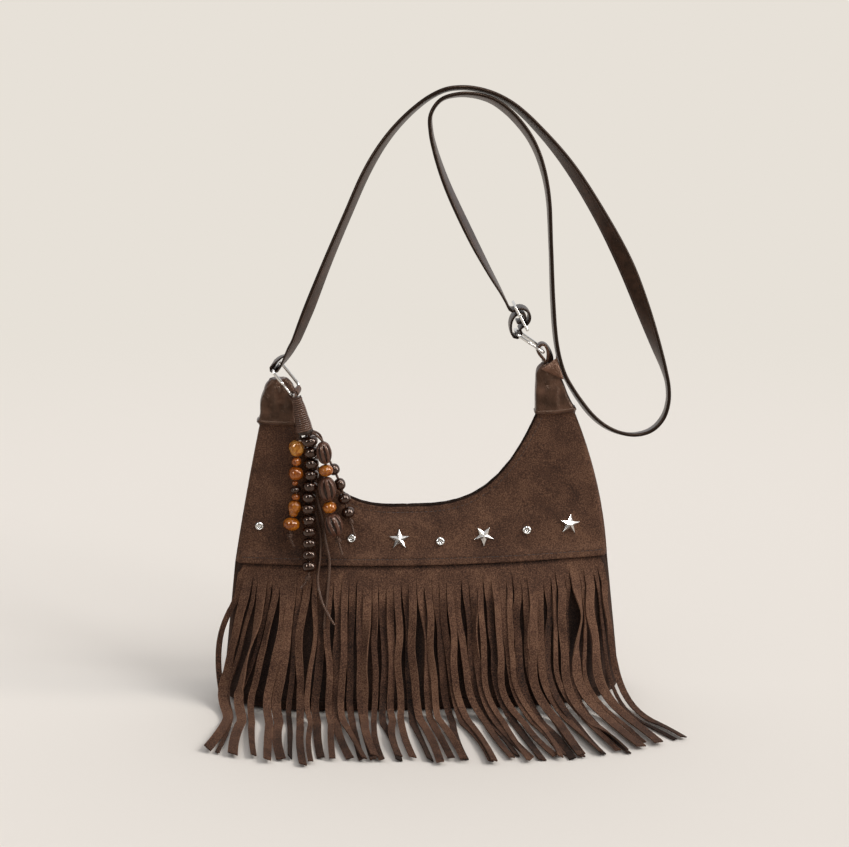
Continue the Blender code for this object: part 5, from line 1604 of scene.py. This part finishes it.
for k, (x, z, turn) in enumerate(star["places"]):
    makeStar("ridged_star_%d" % (k + 1), "star_%d" % (k + 1), clothSeat(x * mm, z * mm, studLift), turn)
for name in ("snap_front", "snap_back"):
    node = frame["nodes"][name]
    for slot in node.material_slots:
        slot.material = nickel
print("studs pressed in")


# the charm: a cord loop, a whipped head, strung beads and their knots

def makeLoop():
    inwards = ring["bend"] * (1 - sqrt(0.5))
    wire = leftSeat @ Vector((halfLong - inwards, inwards - halfWide, 0.0))
    tangent = leftSeat.to_3x3() @ Vector((1.0, 1.0, 0.0)).normalized()
    down = charm["pivot"] - wire
    down = (down - tangent * down.dot(tangent)).normalized()
    far = charm["pivot"] - down * (charm["headRadius"] + bag["gap"] + charm["cordThick"] / 2)
    near = wire - down * (ring["wire"] / 2 + bag["gap"] + charm["cordThick"] / 2)
    middle = (near + far) / 2
    longHalf = (far - near).length / 2
    shortHalf = ring["wire"] / 2 + 2 * bag["gap"] + charm["cordThick"] / 2
    side = tangent.cross(down).normalized()
    turns = [2 * pi * k / 40 for k in range(40)]
    points = [middle + down * cos(turn) * longHalf + side * sin(turn) * shortHalf for turn in turns]
    handOver(wireMesh("cord_loop", points, charm["cordThick"], waxedThong, closed=True), "thong", "charm_loop")


makeLoop()


def makeWrap():
    seat = axisFrame(charm["pivot"], charm["foot"] - charm["pivot"])
    length = (charm["foot"] - charm["pivot"]).length
    points = []
    steps = 26
    above = charm["above"]  # the whipping reaches above the hinge's axis and hides the loop's lower end
    thick = (length + above) / charm["turns"]

    def bodyRadius(high):
        return mix(charm["headRadius"], charm["footRadius"], limit(high / length) ** 0.8)

    for k in range(charm["turns"] * steps + 1):
        high = mix(thick / 2 - above, length - thick / 2, k / (charm["turns"] * steps))
        radius = bodyRadius(high) - thick / 2 + 0.12 * mm * sin(k * 0.21) - 0.5 * mm * limit(1 - k / steps)
        spin = 2 * pi * k / steps
        points.append(seat @ Vector((radius * cos(spin), radius * sin(spin), high)))
    piece = wireMesh("whipped_head", points, thick * 0.97, whippedCord, sides=16)
    # painted light: 1 on the crest of each turn, falling to 0 in the grooves between them
    crest_light = piece.data.attributes.new("crest_light", "FLOAT", "POINT")
    back = seat.inverted()
    for v in piece.data.vertices:
        p = back @ v.co
        crest_light.data[v.index].value = limit((hypot(p.x, p.y) - bodyRadius(p.z) + thick / 2) / (thick / 2)) ** 1.5
    handOver(piece, "thong", "charm_wrap", "charm")
    # the folded thongs under the whipping: a smooth core with a round top on the hinge's axis
    core = [(r * mm, h * mm - above) for r, h in ((0.3, 0.7), (1.3, 0.9), (2.1, 1.8))]
    core += [(bodyRadius(length * t) - 0.9 * mm, length * t) for t in (0.0, 0.15, 0.4, 0.7, 0.94, 1.0)]
    core.append((4.9 * mm, length + 1.5 * mm))  # the thongs' folded ends fill the whipping's mouth
    turns = [2 * pi * k / 32 for k in range(32)]
    loops = [[seat @ Vector((r * cos(turn), r * sin(turn), h)) for turn in turns] for r, h in core]
    handOver(loopSkin("whipped_core", loops, whippedCord, 50), "thong", body="charm")


makeWrap()

beadLooks = {"nugget": (resinLight, "amber"), "tan": (resinTan, "orange_brown"), "spacer": (resinTan, "orange_brown"),
             "dark": (resinDark, "black_brown"), "gourd": (resinAmber, "amber"), "amber": (resinAmber, "amber"),
             "rondelle": (resinDark, "black_brown"), "carved": (stainedWood, "carved_wood")}
beadPowers = {"rondelle": 2.5, "carved": 2.1, "nugget": 2.4, "dark": 2.2}  # how blunt each kind's outline is


def makeBead(name, node, kind, wide, tall, seat, seed):
    # a bored bead: a sphere pressed to its kind's profile, its hole bridged through
    letGo()
    fine = kind == "carved"
    bpy.ops.mesh.primitive_uv_sphere_add(segments=96 if fine else 36, ring_count=40 if fine else 24, radius=1)
    piece = bpy.context.object
    piece.name = name
    bore = charm["cordThick"] / 2 + charm["boreEase"]
    work = bmesh.new()
    work.from_mesh(piece.data)
    mark = work.verts.layers.float.new("ridge_lit")
    for v in work.verts:
        h = v.co.z
        spin = atan2(v.co.y, v.co.x)
        power = beadPowers.get(kind, 2.15)
        radius = (1 - min(1.0, abs(h)) ** power) ** (1 / power)
        if kind == "gourd":  # two lobes with a waist
            radius = (1 - min(1.0, abs((h + 0.22) / 0.8)) ** 2.4) ** (1 / 2.4) if h < 0.42 else 0.0
            radius = max(radius, 0.74 * sqrt(max(0.0, 1 - ((h - 0.52) / 0.48) ** 2)))
        # painted light for carved beads: the mark is 1 on the ridges and 0 in the slots, which the wood's colour paints
        # darker
        ridge_lit = 0.5
        if kind == "carved":  # deep slots cut along the bead, widest at its middle
            around = (spin / (2 * pi) * 8 + seed + 0.25 * h) % 1.0
            half = 0.27 * sqrt(max(0.0, 1 - (h / 0.84) ** 2))
            inSlot = ease((half - abs(around - 0.5)) / 0.12)
            ridge_lit = 1 - inSlot
            radius *= 1 - 0.2 * inSlot
        if kind in ("nugget", "amber", "gourd", "tan"):
            spot = Vector((v.co.x, v.co.y, h)) * (1.1 if kind == "nugget" else 0.7) + Vector((seed, 0, 0))
            radius *= 1 + (0.16 if kind == "nugget" else 0.05) * noise.noise(spot)
        v.co = Vector((radius * cos(spin) * wide / 2, radius * sin(spin) * wide / 2, h * tall / 2))
        v[mark] = ridge_lit
    bmesh.ops.delete(work, geom=[v for v in work.verts if hypot(v.co.x, v.co.y) < bore], context="VERTS")
    work.to_mesh(piece.data)
    work.free()
    toEdit("EDGE", "DESELECT")
    bpy.ops.mesh.select_non_manifold(extend=False)
    bpy.ops.mesh.bridge_edge_loops()
    turnOutwards()
    return seatAt(piece, seat, 60, *beadLooks[kind], node, "charm")


knot = {"turns": 2.1, "radius": 1.25 * mm, "bulge": 0.25 * mm, "half": 1.5 * mm, "tilt": 0.7 * mm, "thick": 1.7 * mm}


def makeKnot(name, path, at):  # an overhand knot: the thong's last turns drawn tight round itself
    middle = alongPath(path, at)
    down = (alongPath(path, at + knot["half"]) - alongPath(path, at - knot["half"])).normalized()
    seat = axisFrame(middle, down)
    points = []
    for k in range(46):
        t = k / 45
        spin = 2 * pi * knot["turns"] * t
        radius = knot["radius"] + knot["bulge"] * sin(pi * t)
        high = mix(-knot["half"], knot["half"], t) + knot["tilt"] * sin(spin)
        points.append(seat @ Vector((radius * cos(spin), radius * sin(spin) * 0.9, high)))
    return handOver(wireMesh(name, points, knot["thick"], waxedThong, sides=12), "thong", body="charm")


for letter, strand in strands.items():
    path = cordPaths[letter]
    run = 0.0
    number = spacers = 0
    onIt = []
    for kind, wide, tall, bare in strand["beads"]:
        first, last = run + bare * mm, run + (bare + tall) * mm
        a, b = alongPath(path, first), alongPath(path, last)
        tight = charm["spacerTight" if kind == "spacer" else "tight"]
        seat = axisFrame((a + b) / 2, b - a)
        length = (b - a).length - 2 * tight
        if kind == "spacer":
            spacers += 1
            name, node, seed = "spacer_%s%d" % (letter, spacers), None, spacers + 3
        else:
            number += 1
            own = "%s%d" % (letter, number)
            name, node, seed = "strung_" + own, "bead_" + own, number * 1.7
        onIt.append(makeBead(name, node, kind, wide * mm, length, seat, seed))
        run = last
    tied = makeKnot("knot_" + letter, path, run + strand["knotRun"] * 0.35 * mm)
    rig.cord(cordPieces[letter], exit=path[0], length=pathLength(path), diameter=charm["cordThick"], far_end="knot",
            stiffness="limp", lay="hanging", with_pieces=onIt + [tied])
print("charm strung")


# a plain pale floor, a pale surround and soft studio light

studio = {"backdrop": "#E7E1D8", "floor": "#E9E2D9", "bright": 0.95, "dim": 0.21, "brightSide": (0.5, 0.75, 0.42),
          "air": "#F6F7FA", "keyTone": "#FFF9F2", "key": 0.52, "keyTurn": 80, "keyRise": 49, "keySoft": 11,
          "fill": 1.06, "fillTurn": 58, "fillRise": 38, "fillSoft": 24,
          # lamps that only polished faces show: place, width and height, power
          "softboxes": {"left_box": ((-1.1, -1.0, 0.9), (0.22, 0.6), 13.0),
                        "top_box": ((0.2, -0.6, 1.6), (0.6, 0.2), 12.0),
                        "right_box": ((1.3, -0.5, 0.7), (0.28, 0.9), 17.0),
                        "front_box": ((0.35, -1.5, 1.25), (0.3, 0.16), 8.0)}}


def hangLamp(name, kind, place, power, way, axis):
    bpy.ops.object.light_add(type=kind, location=place)
    lamp = bpy.context.object
    lamp.name = name
    lamp.data.energy = power
    lamp.rotation_euler = way.to_track_quat(axis, "Y").to_euler()
    lamp.visible_diffuse = kind == "SUN"
    return lamp.data


def makeSun(name, turn, rise, power, soft, colour):
    turn, rise = radians(turn), radians(rise)
    away = Vector((sin(turn) * cos(rise), -cos(turn) * cos(rise), sin(rise)))
    sun = hangLamp(name, "SUN", away * 2, power, away, "Z")
    sun.angle = radians(soft)
    sun.color = colour


def paperFloor():
    letGo()
    bpy.ops.mesh.primitive_plane_add(size=30, location=(0, 0, -0.0002))
    floor = bpy.context.object
    floor.name = "studio_floor"
    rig.stage(floor)
    look, shader = newLook("studio_paper", Roughness=0.95, Base_Color=tone(studio["floor"]), Specular_IOR_Level=0.0)
    # beyond the object's reach the camera and the reflections see the backdrop's own even colour
    plain = addNode(look, "ShaderNodeEmission", {"Color": tone(studio["backdrop"]), "Strength": 1.0})
    away = addNode(look, "ShaderNodeVectorMath", links={0: objectPlace(look)}, operation="LENGTH").outputs["Value"]
    fade = remap(look, away, 0.55, 1.3, kind="SMOOTHSTEP")
    rays = addNode(look, "ShaderNodeLightPath").outputs
    seen = maths(look, "MAXIMUM", rays["Is Camera Ray"], rays["Is Glossy Ray"])
    seen = maths(look, "MAXIMUM", seen, rays["Is Transmission Ray"])
    share = maths(look, "MULTIPLY", seen, fade)
    blend = addNode(look, "ShaderNodeMixShader", links={0: share, 1: shader.outputs[0], 2: plain.outputs[0]})
    feed(look, look.node_tree.nodes["Material Output"], Surface=blend.outputs[0])
    floor.data.materials.append(look)


def studioAir():
    # the studio's walls: pale behind the bag and to its right, dim behind the camera
    world = bpy.data.worlds.new("studio_air")
    bpy.context.scene.world = world
    world.use_nodes = True
    air = world.node_tree.nodes["Background"]
    air.inputs["Color"].default_value = tone(studio["air"])
    way = addNode(world, "ShaderNodeTexCoord").outputs["Generated"]
    side = Vector(studio["brightSide"]).normalized()
    toward = addNode(world, "ShaderNodeVectorMath", {1: side}, {0: way}, operation="DOT_PRODUCT").outputs["Value"]
    feed(world, air, Strength=remap(world, toward, -0.7, 0.6, studio["dim"], studio["bright"], "SMOOTHSTEP"))
    far = addNode(world, "ShaderNodeBackground", {"Color": tone(studio["backdrop"]), "Strength": 1.0})
    rays = addNode(world, "ShaderNodeLightPath")
    both = addNode(world, "ShaderNodeMixShader", links={0: rays.outputs["Is Camera Ray"], 1: air.outputs[0],
                                                        2: far.outputs[0]})
    feed(world, world.node_tree.nodes["World Output"], Surface=both.outputs[0])


def hangLamps():
    makeSun("key_sun", studio["keyTurn"], studio["keyRise"], studio["key"], studio["keySoft"],
            tone(studio["keyTone"])[:3])
    makeSun("fill_sun", studio["fillTurn"], studio["fillRise"], studio["fill"], studio["fillSoft"], (1, 1, 1))
    for name, (place, size, power) in studio["softboxes"].items():
        lamp = hangLamp(name, "AREA", place, power, Vector((0, 0, 0.25)) - Vector(place), "-Z")
        lamp.shape = "RECTANGLE"
        lamp.size, lamp.size_y = size


paperFloor()
studioAir()
hangLamps()
bpy.context.scene.view_settings.view_transform = "Standard"

letGo()
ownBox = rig.bounds()
with open("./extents.json", "w") as sheet:
    json.dump({"cad": [list(corner) for corner in cadBox], "visual": [list(corner) for corner in ownBox]}, sheet)
print("studio lit, boxes written")
